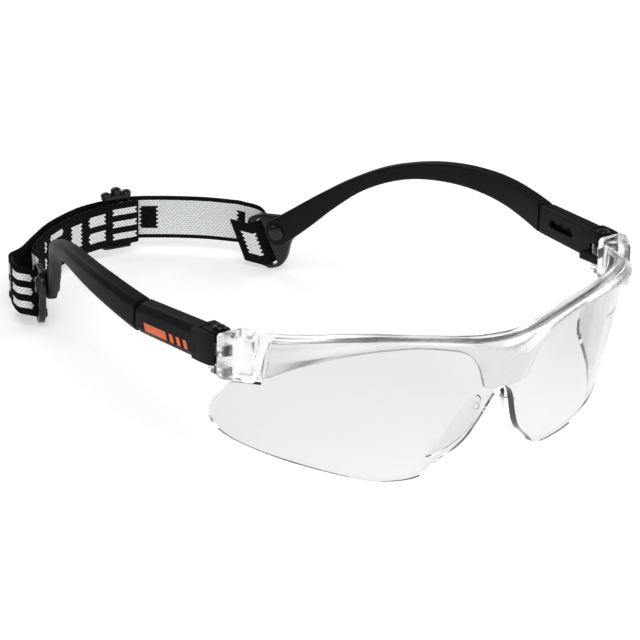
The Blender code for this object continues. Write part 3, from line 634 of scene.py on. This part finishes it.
def build_lens():
    """Shield in rows from the nose edge to the side edge, with a rounded rim."""
    columns = 64
    points, faces, index = [], [], {}

    def corner(row, side, column):
        z = LENS_ROWS[row]
        inner, outer = eased(LENS_INNER, z), eased(LENS_OUTER, z)
        if inner == 0.0 and column == 0:
            side = 1
        key = (row, side, column)
        if key not in index:
            along = inner + (outer - inner) * column / columns
            room = brow_top(along) - BROW_LIP - TOUCH_GAP
            above = max(z - LENS_SHOULDER_Z, 0.0) / (LENS_ROWS[-1] - LENS_SHOULDER_Z)
            index[key] = len(points)
            points.append((along * side, min(z, LENS_SHOULDER_Z) + (room - LENS_SHOULDER_Z) * above))
        return index[key]

    for row in range(len(LENS_ROWS) - 1):
        for side in (1, -1):
            for column in range(columns):
                quad = [corner(row, side, column), corner(row, side, column + 1),
                        corner(row + 1, side, column + 1), corner(row + 1, side, column)]
                if side < 0:
                    quad = quad[::-1]
                if len(set(quad)) > 2:
                    faces.append(list(dict.fromkeys(quad)))
    count = len(points)
    solid = [wrap_point(s, z) for s, z in points]
    solid += [wrap_point(s, z, -LENS_THICKNESS) for s, z in points]
    skins = faces + [[i + count for i in face[::-1]] for face in faces]
    seen = {}
    for face in faces:
        for a, b in zip(face, face[1:] + face[:1]):
            seen.setdefault(frozenset((a, b)), []).append((a, b))
    rim = [pair[0] for pair in seen.values() if len(pair) == 1]
    skins += [[b, a, a + count, b + count] for a, b in rim]
    lens = make_mesh("lens_clear_shield", solid, skins, CLEAR_LENS, 40)
    soften = lens.modifiers.new("rim", "BEVEL")
    soften.width = 0.0005
    soften.segments = 3
    soften.limit_method = "ANGLE"
    soften.angle_limit = math.radians(55)
    apply_modifiers(lens)
    return lens


PAD_LOW, PAD_HEIGHT = 4.5, 18.5
PAD_HALF_WIDTH, PAD_HALF_THICKNESS = 2.9, 0.72
PAD_SETBACK = Vector((0.7, 3.6, 0))    # from the shield's nose edge to the pad's middle
PAD_TURN = math.radians(60)            # leaf's direction in plan, from across the nose
PAD_CUP = 0.09                         # hollow of the leaf, per mm squared
STEM_Z = 20.5


def build_nose_pad(sign, side):
    """Soft leaf pad behind the nose edge, cupped, with a stem that runs up to the shield."""
    along = Vector((math.cos(PAD_TURN), math.sin(PAD_TURN), 0))
    across = Vector((along.y, -along.x, 0))
    rows, count = 32, 28
    rings = []
    for k in range(rows + 1):
        t = k / rows
        z = PAD_LOW + PAD_HEIGHT * t
        half = PAD_HALF_WIDTH * math.sqrt(max(1 - (2 * t - 1) ** 2, 0.004))
        middle = wrap_point(eased(LENS_INNER, z), z, -LENS_THICKNESS) + PAD_SETBACK
        ring = []
        for i in range(count):
            turn = 2 * math.pi * i / count
            u, v = math.cos(turn) * half, math.sin(turn) * PAD_HALF_THICKNESS * min(1, half / 1.2)
            ring.append(middle + along * u + across * (v - PAD_CUP * u * u + 0.35))
        rings.append(mirrored(ring, sign))
    pad = loft("pad_" + side, rings, SOFT_CLEAR, 50)
    edge = eased(LENS_INNER, STEM_Z)
    start = wrap_point(edge + 2.2, STEM_Z, -LENS_THICKNESS - TOUCH_GAP - 0.5)
    finish = wrap_point(edge, STEM_Z, -LENS_THICKNESS) + Vector((0.5, 3.6, -1.0))
    start, finish = mirrored([start, finish], sign)
    stem = lathe("stem", [(1.0, 0), (0.8, 0.5), (0.75, (finish - start).length)], start,
                 (finish - start).normalized(), SOFT_CLEAR, 28)
    return combine(pad, stem, "UNION", 50)


def build_screw(sign, side):
    """Slotted screw through the knuckles and prongs."""
    centre = Vector((HINGE_X * sign, HINGE_Y, 0))
    profile = [(0.4, 34.1), (0.88, 34.3), (0.88, 46.75), (1.88, 46.75), (1.88, 47.2), (1.6, 47.55),
               (1.0, 47.66), (0.3, 47.68)]
    screw = lathe("screw_" + side, profile, centre, UP, STEEL, 40)
    along, across = Vector((0.8, 0.6, 0)), Vector((-0.6, 0.8, 0))
    cut = plate("cut", oblong(4.4, 0.44), centre + UP * 47.6, along, across, 0.9, 0.02, STEEL)
    return combine(screw, cut, "DIFFERENCE", 30)


# ---- temples ----------------------------------------------------------------------------------
HOUSING_START, HOUSING_END = Vector((73.0, 3.2, 41.9)), Vector((75.4, 29.0, 41.9))
STUD_CENTRE = Vector((44.6, 127.6, 14.8))
STUD_HOLE = [(1.8, -6), (1.8, 6)]
TIP_THICKNESS, TIP_RADIUS = 3.2, 4.7
HOUSING_HEIGHT = (9.8, 9.0)
HOUSING_THICKNESS = 6.2
HOUSING_CHAMFER = 1.5
CHEEK_HEIGHT = 9.2             # outer wall that runs forward over the hinge
RATCHET_PITCH = 4.2            # between the three lobes of the slot
ARM_CHAMFER = (1.25, 0.90)     # front and rear
ARM_ROUTE = ((75.5, 30.2, 41.9), (76.1, 38, 43.4), (76.2, 47, 44.9), (75.4, 56, 45.8), (73.4, 66, 46.1),
             (70.4, 76, 45.4), (67.0, 86, 43.4), (62.8, 95, 40.2), (57.8, 104, 35.0), (52.6, 112, 28.4),
             (48.2, 120, 21.2))
ARM_HEIGHT = ((0.0, 9.0), (0.18, 7.9), (0.30, 6.9), (0.42, 5.9), (0.53, 5.1), (0.66, 5.0), (0.78, 6.2),
              (0.88, 7.8), (1.0, 9.2))
ARM_THICKNESS = ((0.0, 6.0), (0.3, 5.0), (0.7, 3.8), (1.0, TIP_THICKNESS))


def housing_frame(sign, t):
    """Middle of the housing at t along it, its direction, and its outward direction."""
    start, end = mirrored([HOUSING_START, HOUSING_END], sign)
    run = (end - start).normalized()
    across = Vector((run.y, -run.x, 0)).normalized() * sign
    return start.lerp(end, t), run, across


def section(middle, across, up, thickness, height, chamfer):
    """Flat outer face with broad chamfers above and below, softly rounded inside."""
    a, b, c = thickness / 2, height / 2, chamfer
    outline = [(a, -b + c * 1.25), (a, b - c * 1.25), (a - c, b), (-a, b), (-a, -b), (a - c, -b)]
    radii = [0.5, 0.5, 0.55, 0.9, 0.9, 0.55]
    return [middle + across * p.x + up * p.y for p in rounded(outline, radii, 4)]


def build_housing(sign, side):
    """Front sleeve: chamfered body with a bowed rear lip, two hinge prongs, ratchet slot inside."""
    steps = 14
    rings = []
    for k in range(steps + 1):
        t = k / steps
        place, run, across = housing_frame(sign, t)
        height = HOUSING_HEIGHT[0] + (HOUSING_HEIGHT[1] - HOUSING_HEIGHT[0]) * t
        ring = []
        for p in section(Vector(), across, UP, HOUSING_THICKNESS, height, HOUSING_CHAMFER):
            outer = smooth(p.dot(across), -3.0, 3.0)
            bow = (1 - (p.z / (height / 2)) ** 2) * 1.6 * outer - 1.2 * outer
            ring.append(place + p + run * bow * smooth(t, 0.6, 1.0))
        rings.append(ring)
    housing = loft("housing_" + side, rings, BLACK, 35)
    cut_inside(housing, sign)
    hinge = Vector((HINGE_X * sign, HINGE_Y, 0))
    reach = HOUSING_START.y + 2.2 - HINGE_Y
    outline = arc(HINGE_RADIUS, 180, 360, 28) + [(HINGE_RADIUS, reach), (-HINGE_RADIUS, reach)]
    for low, high in PRONG_HEIGHTS:
        prong = plate("prong", outline, hinge + UP * (low + high) / 2, LEFTWARD, REARWARD, high - low, 0.35,
                      BLACK)
        combine(housing, prong, "UNION")
    rear = HOUSING_START.y + 1.5
    plan = [(74.1, HINGE_Y - 2.6), (74.6, HINGE_Y - 2.8), (75.4, HINGE_Y - 1.9), (76.05, HINGE_Y + 1.6),
            (76.1, rear), (74.1, rear)]
    outline = [(p.x * sign, p.y) for p in rounded(plan, [0.2, 0.3, 0.8, 1.5, 0.2, 0.2], 3)]
    cheek = plate("cheek", outline, UP * HOUSING_START.z, LEFTWARD, REARWARD, CHEEK_HEIGHT, 0.12, BLACK)
    combine(housing, cheek, "UNION")
    combine(housing, lathe("bore", PIN_BORE, hinge, UP, BLACK, 32), "DIFFERENCE")
    return housing


def cut_inside(housing, sign):
    """Cavity for the arm's tongue, and the lobed ratchet slot in the inner wall."""
    place, run, across = housing_frame(sign, 1.0)
    cavity = plate("cavity", rounded(oblong(26, 5, (-7, 0)), 0.4), place, run, UP, 3.0, 0.2, BLACK)
    combine(housing, cavity, "DIFFERENCE")
    centre = place - run * 11 - across * 2.2
    for reach in (-RATCHET_PITCH, 0.0, RATCHET_PITCH):
        lobe = [(reach + x, 0.45 + y) for x, y in arc(1.35, 0, 360, 28)[:-1]]
        combine(housing, plate("lobe", lobe, centre, run, UP, 3.4, 0.1, BLACK), "DIFFERENCE")
    groove = plate("groove", rounded(oblong(12, 2), 0.8), centre, run, UP, 3.4, 0.1, BLACK)
    combine(housing, groove, "DIFFERENCE")


def build_print(sign, side):
    """Plain orange slashes low on the housing's outer face."""
    place, run, across = housing_frame(sign, 0.0)
    face = place + across * HOUSING_THICKNESS / 2
    low, high, lean = -2.6, -0.2, 0.9
    pieces = []
    for start, length in ((3.0, 1.5), (6.0, 1.5), (9.0, 1.5), (12.0, 9.5)):
        outline = [(start, low), (start + length, low), (start + length + lean, high), (start + lean, high)]
        pieces.append(plate("print", rounded(outline, 0.25), face, run, UP, 0.16, 0.05, ORANGE))
    return joined("housing_print_" + side, pieces)


def tip_outward(sign):
    """Level outward direction at the arm's tip, along its stud."""
    run = (STUD_CENTRE - Vector(ARM_ROUTE[-1])).normalized()
    level = Vector((run.x, run.y, 0)).normalized()
    return mirrored([Vector((level.y, -level.x, 0))], sign)[0]


def build_arm(sign, side):
    """Rear arm: tapering bow with chamfered edges, round tip with a hole, and the sliding tongue."""
    route = curve_through([Vector(p) for p in ARM_ROUTE] + [STUD_CENTRE], 100)
    rings = []
    last = len(route) - 1
    for k, place in enumerate(route):
        t = k / last
        ahead = route[min(k + 1, last)] - route[max(k - 1, 0)]
        if k == 0:
            ahead = HOUSING_END - HOUSING_START
        run = ahead.normalized()
        across = Vector((run.y, -run.x, 0)).normalized()
        up = across.cross(run).normalized()
        chamfer = ARM_CHAMFER[0] + (ARM_CHAMFER[1] - ARM_CHAMFER[0]) * smooth(t, 0.3, 0.7)
        ring = section(place, across, up, eased(ARM_THICKNESS, t), eased(ARM_HEIGHT, t), chamfer)
        rings.append(mirrored(ring, sign))
    arm = loft("arm_" + side, rings, BLACK, 35)
    out = tip_outward(sign)
    centre = mirrored([STUD_CENTRE], sign)[0]
    half = TIP_THICKNESS / 2
    rim = [(TIP_RADIUS - 0.6, half), (TIP_RADIUS - 0.15, half - 0.2), (TIP_RADIUS, half - 0.6)]
    profile = [(radius, -height) for radius, height in rim] + rim[::-1]
    combine(arm, lathe("disc", profile, centre, out, BLACK, 56), "UNION")
    place, run, _ = housing_frame(sign, 1.0)
    tongue = plate("tongue", rounded(oblong(18.5, 4.4, (-6.75, 0)), 0.5), place, run, UP, 2.4, 0.3, BLACK)
    combine(arm, tongue, "UNION")
    combine(arm, lathe("hole", STUD_HOLE, centre, out, BLACK, 40), "DIFFERENCE")
    return arm


# ---- carriers and strap -----------------------------------------------------------------------
CARRIER_TILT = math.radians(24)
CARRIER_THICKNESS = 2.2
CARRIER_REACH = 12.2           # stud to the far edge of the slot's bar
SLOT_NEAR, SLOT_FAR = 6.2, 9.4
SLOT_DROP = 2.4                # middle of the slot, below the stud


def carrier_frame(sign):
    """Middle of the carrier, its outward direction, its length's direction and its slot's."""
    out = tip_outward(sign)
    level = Vector((out.y, -out.x, 0)) * sign
    if level.y < 0:
        level = -level
    along = level * math.cos(CARRIER_TILT) - UP * math.sin(CARRIER_TILT)
    rise = UP * math.cos(CARRIER_TILT) + level * math.sin(CARRIER_TILT)
    face = mirrored([STUD_CENTRE], sign)[0] + out * (TIP_THICKNESS / 2 + TOUCH_GAP + CARRIER_THICKNESS / 2)
    return face, out, along, rise


def build_carrier(sign, side):
    """Swivelling plate with a slot for the webbing."""
    face, out, along, rise = carrier_frame(sign)
    outline = [(-4.7, 1.2), (-3.2, 3.8), (0.0, 5.0), (4.0, 6.4), (6.0, 7.2), (10.6, 7.2),
               (CARRIER_REACH, 5.6), (CARRIER_REACH, -9.6), (10.2, -11.6), (5.6, -11.8),
               (2.4, -9.6), (-1.0, -5.0), (-3.4, -3.4), (-4.7, -1.2)]
    carrier = plate("carrier_" + side, rounded(outline, 1.6, 4), face, along, rise, CARRIER_THICKNESS, 0.5,
                    GLOSS)
    middle = ((SLOT_NEAR + SLOT_FAR) / 2, -SLOT_DROP)
    window = rounded(oblong(SLOT_FAR - SLOT_NEAR, STRAP_WIDTH + 1.2, middle), 0.7)
    combine(carrier, plate("window", window, face, along, rise, 8.0, 0.1, GLOSS), "DIFFERENCE")
    combine(carrier, lathe("hole", STUD_HOLE, face, out, GLOSS, 40), "DIFFERENCE")
    return carrier


def build_stud(sign, side):
    """Rivet through the arm's tip and the carrier, with a domed head at each end."""
    face, out, _, _ = carrier_frame(sign)
    outer = CARRIER_THICKNESS / 2 + TOUCH_GAP
    inner = (mirrored([STUD_CENTRE], sign)[0] - face).dot(out) - TIP_THICKNESS / 2 - TOUCH_GAP
    head = [(0.5, 0.88), (1.6, 0.85), (2.4, 0.6), (2.68, 0.2), (2.68, 0), (1.7, 0)]
    profile = [(radius, inner - height) for radius, height in head]
    profile += [(radius, outer + height) for radius, height in head[::-1]]
    return lathe("stud_" + side, profile, face, out, GLOSS, 40)


STRAP_BACK = ((44.2, 152.0), (37.8, 159.8), (28.8, 167.5), (18.4, 174.2), (11.2, 175.9), (3.0, 176.0),
              (-6.0, 174.3), (-19.7, 168.0), (-30.4, 160.2), (-40.4, 152.2))
RETURN_BACK = ((-38.6, 147.2), (-34.8, 152.4), (-25.8, 159.9), (-12.3, 167.5), (-1.0, 170.9), (8.5, 171.5))
STRAP_TAB = 5.0
# past the slot the webbing swings out in a loose loop: (along, outwards, up) from the bar
LOOSE_LOOP = {"left": ((-3.3, 1.6, 0.3), (-3.2, 4.2, 1.2), (-0.6, 6.4, 2.8), (3.4, 7.3, 4.8),
                       (7.2, 7.2, 6.8)),
              "right": ((-3.6, 1.8, 0.3), (-5.0, 4.2, 0.8), (-4.4, 6.7, 1.6), (-0.6, 7.9, 3.8),
                        (4.0, 7.9, 5.9))}
SLIDER_X = 10.6
SLIDER_PITCH = 3.8             # between its bars
SLIDER_BAR = 1.05              # radius of the middle bar
SLIDER_KNOB_REACH = (0.8, 2.1, 0.8)
SLIDER_LAP = 6.6               # the inner layer ends this far to the left of the slider's middle
INNER_LAYER_Y = 170.9
HANDOVER = 6.0                 # length over which the webbing passes from one moving body to the next


def ribbon(name, route, rises, outer_sign, start_length=0.0):
    """Knitted webbing: thin selvedges with a raised cord, fine ribs, and UVs in mm for the stitches."""
    across = 24
    rib_pitch = 2.3
    rings, uvs = [], []
    lengths = lengths_along(route, start_length)
    last = len(route) - 1
    for k, place in enumerate(route):
        run = (route[min(k + 1, last)] - route[max(k - 1, 0)]).normalized()
        rise = rises[k].normalized()
        flat = run.cross(rise).normalized() * outer_sign
        rib = 0.035 * math.sin(2 * math.pi * lengths[k] / rib_pitch)
        ring = []
        for face_sign, base in ((1, 0.0), (-1, WHITE_FACE_V)):
            for v in [i / across for i in range(across + 1)][::face_sign]:
                w = (v - 0.5) * STRAP_WIDTH
                edge = STRAP_WIDTH / 2 - abs(w)
                body = STRAP_THICKNESS / 2 * (0.30 + 0.70 * smooth(edge, 0.0, 0.45))
                cord = 0.06 * math.exp(-((edge - 0.9) / 0.5) ** 2)
                ring.append(place + rise * w + flat * face_sign * (body + cord + rib - 0.06))
                uvs.append((lengths[k], v * STRAP_WIDTH + base))
        rings.append(ring)
    return loft(name, rings, WEBBING, 60, uvs)


def loop_route(sign, side):
    """Webbing through the slot: flat inside the bar, round its edge, and a loose loop outside."""
    count = 90
    face, out, along, rise = carrier_frame(sign)
    bar_half = (CARRIER_REACH - SLOT_FAR) / 2
    bar = face - rise * SLOT_DROP + along * (SLOT_FAR + bar_half)
    clear = TOUCH_GAP + STRAP_THICKNESS / 2
    half = CARRIER_THICKNESS / 2
    flat = [(bar_half + STRAP_TAB, -half - clear, 3.4), (bar_half, -half - clear, 0.8),
            (0, -half - clear, 0)]
    for k in range(5):
        turn = math.radians(-90 - 90 * k / 4)
        flat.append((-bar_half + clear * math.cos(turn), -half + clear * math.sin(turn), 0))
    flat += list(LOOSE_LOOP[side])
    points = [bar + along * p.x + out * p.y + rise * p.z for p in curve_through(flat, count)]
    return points, [rise.lerp(UP, smooth(k / (count - 1), 0.5, 0.97)) for k in range(count)]


def leaving(points, at_end):
    """Place and direction in which a loop's end runs on."""
    if at_end:
        return points[-1], (points[-1] - points[-2]).normalized()
    return points[0], (points[0] - points[1]).normalized()


def strap_route(first, last, plan, turn_in, turn_out, count):
    """Route between two ends given as (place, direction, rise), and the webbing's rise along it."""
    (start, start_way, start_rise), (finish, finish_way, finish_rise) = first, last
    knots = [start + start_way * 0.05, start + start_way * 3.0]
    knots += [Vector((x, y, STRAP_MID_Z)) for x, y in plan]
    knots += [finish + finish_way * 3.0, finish + finish_way * 0.05]
    route = curve_through(knots, count)
    rises = []
    for k in range(count):
        t = k / (count - 1)
        rise = start_rise.lerp(UP, smooth(t, 0.0, turn_in))
        rises.append(rise.lerp(finish_rise, smooth(t, 1 - turn_out, 1)))
    return route, rises


def chain(name, route, rises, places, bodies, offset):
    """One run of webbing as pieces, each listed with one body or with the two neighbouring bodies of a chain
    that it lies between.

    places are the lengths along the run where one piece hands over to the next."""
    lengths = lengths_along(route)
    made, first = [], 0
    for i, mark in enumerate([*places, lengths[-1]]):
        last = max(k for k in range(len(route)) if lengths[k] <= mark + 1e-6)
        part = slice(first, last + 1)
        piece = ribbon(f"{name}_{i}", route[part], rises[part], 1, offset + lengths[first])
        made.append((piece, route[first], route[last], bodies[i]))
        first = last
    return made


def pairs(*bodies):
    """Each body with the next one along."""
    return list(zip(bodies, bodies[1:]))


def settle(made):
    """Fixes each piece of a chain that has one body to that body; a piece listed with two bodies stays where
    it is, with its transform baked in.
    """
    for piece, start, end, pair in made:
        if len(pair) == 1:
            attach(piece, pair[0])
        else:
            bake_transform(piece)


def build_slider(place, run):
    """Slider between the two layers: three round bars, a rail above and below, and domed knobs on top."""
    out = Vector((-run.y, run.x, 0)).normalized()
    if out.y < 0:
        out = -out
    place = place - out * (STRAP_THICKNESS / 2 + TOUCH_GAP + SLIDER_BAR + 0.05)
    rail = STRAP_WIDTH / 2 + 1.5
    body = capsule("slider_body", place, UP, SLIDER_BAR, 2 * rail, GLOSS)
    for offset in (-SLIDER_PITCH, SLIDER_PITCH):
        bar = capsule("bar", place + run * offset, UP, SLIDER_BAR - 0.05, 2 * rail, GLOSS)
        combine(body, bar, "UNION", 30)
    shape = rounded(oblong(10.6, 3.4), 1.5, 6)
    for end, height in ((-1, 1.2), (1, 2.0)):
        middle = place + UP * (STRAP_WIDTH / 2 + 0.5 + height / 2) * end
        combine(body, plate("rail", shape, middle, run, out, height, height * 0.35, GLOSS), "UNION", 30)
    for k, reach in enumerate(SLIDER_KNOB_REACH):
        low, high = rail - 0.6, rail + 1.0 + reach
        middle = (low + high) / 2
        profile = [(0.2, low), (1.3, low + 0.1), (1.6, middle - 0.3), (1.8, middle + 0.3),
                   (1.75, high - 0.75), (1.45, high - 0.35), (0.9, high - 0.08), (0.2, high)]
        knob = lathe("knob", profile, place + run * SLIDER_PITCH * (k - 1), UP, GLOSS, 36)
        combine(body, knob, "UNION", 30)
    return body


def place_piece(item, body, slot, *nodes):
    """Fixes a piece to its body and hides the CAD nodes that it replaces; the slot argument is not used."""
    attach(item, body)
    if nodes:
        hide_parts(*nodes)


def build_strap(loops):
    """Main run round the back, the inner layer that returns to the slider, and the slider."""
    left, _ = loops["left"]
    right, right_rises = loops["right"]
    route, rises = strap_route((*leaving(left, True), UP), (*leaving(right, True), UP), STRAP_BACK, 0.2, 0.2,
                               260)
    at_slider = min(range(len(route)), key=lambda i: abs(route[i].x - SLIDER_X))
    lengths = lengths_along(route)
    middle, total = lengths[at_slider], lengths[-1]
    bodies = pairs("carrier_left", "arm_left", "temple_left", "front") + [("front",)]
    bodies += pairs("front", "temple_right", "arm_right", "carrier_right")
    places = (HANDOVER, 2 * HANDOVER, middle - 8.0, middle + 8.0, total - 2 * HANDOVER, total - HANDOVER)
    made = chain("webbing_main", route, rises, places, bodies, 40.0)
    settle(made)
    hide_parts("strap_webbing")
    end = Vector((SLIDER_X + SLIDER_LAP, INNER_LAYER_Y, STRAP_MID_Z))
    inner, inner_rises = strap_route((*leaving(right, False), right_rises[0]), (end, -LEFTWARD, UP),
                                     RETURN_BACK, 0.3, 0.01, 150)
    places = (HANDOVER, 2 * HANDOVER, lengths_along(inner)[-1] - 8.0)
    bodies = pairs("carrier_right", "arm_right", "temple_right", "front") + [("front",)]
    made = chain("webbing_return", inner, inner_rises, places, bodies, 200.0)
    settle(made)
    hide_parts("strap_return_layer")
    slider = build_slider(route[at_slider], (route[at_slider + 1] - route[at_slider - 1]).normalized())
    place_piece(slider, "slider", "gloss_black", "strap_slider")


def build_all():
    """Every piece on its body."""
    place_piece(build_front(), "front", "clear_frame", "front_frame")
    place_piece(build_lens(), "front", "clear_lens", "lens_shield")
    loops = {}
    for sign, side in ((1, "left"), (-1, "right")):
        place_piece(build_nose_pad(sign, side), "front", "soft_clear", "nose_pad_" + side)
        place_piece(build_screw(sign, side), "front", "screw_steel", "hinge_screw_" + side)
        place_piece(build_housing(sign, side), "temple_" + side, "black_plastic", "temple_housing_" + side)
        place_piece(build_print(sign, side), "temple_" + side, "black_plastic")
        place_piece(build_arm(sign, side), "arm_" + side, "black_plastic", "temple_arm_" + side)
        place_piece(build_carrier(sign, side), "carrier_" + side, "gloss_black", "strap_carrier_" + side)
        place_piece(build_stud(sign, side), "carrier_" + side, "gloss_black", "carrier_stud_" + side)
        points, rises = loop_route(sign, side)
        loop = ribbon("webbing_loop_" + side, points, rises, sign, 0.0 if sign > 0 else 9.0)
        place_piece(loop, "carrier_" + side, "webbing", "strap_loop_" + side)
        loops[side] = (points, rises)
    build_strap(loops)


# ---- stage ------------------------------------------------------------------------------------
CAMERA_PLACE = Vector((-516.0, -629.0 + SHIFT_Y, 345.0))
CAMERA_TURN, CAMERA_RISE, CAMERA_ROLL = math.radians(-37.4), math.radians(21.0), math.radians(1.1)
FLOOR_WIDTH, FLOOR_DROP = 12.0, 0.0004             # metres
AREA_LIGHTS = (                # name, place, target and size in metres, power in watts
    ("key", (-0.5, -0.7, 1.1), (0, 0, 0), 0.9, 9.0),
    ("front", (-0.75, -0.85, 0.32), (0, 0.05, 0.02), 0.5, 1.9),
    ("left", (1.1, -0.2, 0.7), (0, 0, 0.02), 0.7, 5.0),
    ("back", (0.1, 1.2, 0.8), (0, 0, 0.02), 1.0, 6.0),
)


def build_camera():
    """Long lens, turned about the vertical, looking down and slightly rolled."""
    data = bpy.data.cameras.new("camera")
    data.sensor_width = 36.0
    data.lens = 168.75
    data.clip_end = 50.0
    camera = in_scene("camera", data)
    tilt = Matrix.Rotation(math.pi / 2 - CAMERA_RISE, 4, "X") @ Matrix.Rotation(CAMERA_ROLL, 4, "Z")
    turned = Matrix.Translation(CAMERA_PLACE * MM) @ Matrix.Rotation(CAMERA_TURN, 4, "Z")
    camera.matrix_world = turned @ tilt
    bpy.context.scene.camera = camera


def area_light(name, place, target, size, power):
    """Square light that faces its target."""
    data = bpy.data.lights.new(name, "AREA")
    data.size = size
    data.energy = power
    item = in_scene(name, data)
    item.location = place
    item.rotation_euler = (Vector(target) - Vector(place)).to_track_quat("-Z", "Y").to_euler()


def build_stage():
    """White floor, a studio sky that darkens overhead, and the area lights."""
    n = Nodes("look_floor")
    n.set(Base_Color=(0.9, 0.9, 0.9, 1), Roughness=0.9, Emission_Color=(1, 1, 1, 1), Emission_Strength=0.40)
    n.bump(n.noise(300.0), 0.02, 0.0002)
    mesh = bpy.data.meshes.new("floor")
    mesh.from_pydata([(x, y, -FLOOR_DROP) for x, y in oblong(FLOOR_WIDTH, FLOOR_WIDTH)], [], [(0, 1, 2, 3)])
    mesh.materials.append(n.owner)
    floor = in_scene("floor", mesh)
    sky = Nodes("studio", "worlds", "Background")
    place = sky.add("ShaderNodeTexCoord")
    split = sky.add("ShaderNodeSeparateXYZ")
    sky.link(place.outputs["Generated"], split.inputs[0])
    ramp = sky.add("ShaderNodeValToRGB")
    sky.link(split.outputs[2], ramp.inputs[0])
    ramp.color_ramp.elements[0].color = (0.95, 0.95, 0.95, 1)
    ramp.color_ramp.elements[1].position = 0.9
    ramp.color_ramp.elements[1].color = (0.14, 0.14, 0.145, 1)
    middle = ramp.color_ramp.elements.new(0.42)
    middle.color = (0.30, 0.30, 0.31, 1)
    # tall dark screens round the studio
    east, north, height = (Value(sky, socket) for socket in split.outputs)
    side = (north.do("ARCTAN2", east) * 1.5).do("SINE").do("ABSOLUTE")
    screen = (side > 0.93) * (height > 0.06)
    sky.link(sky.mix(screen * 0.7, ramp.outputs[0], (0.02, 0.02, 0.02)), sky.shader.inputs[0])
    sky.shader.inputs[1].default_value = 0.55
    bpy.context.scene.world = sky.owner
    for light in AREA_LIGHTS:
        area_light(*light)


build_all()
build_camera()
build_stage()
bpy.context.scene.view_settings.view_transform = "Standard"
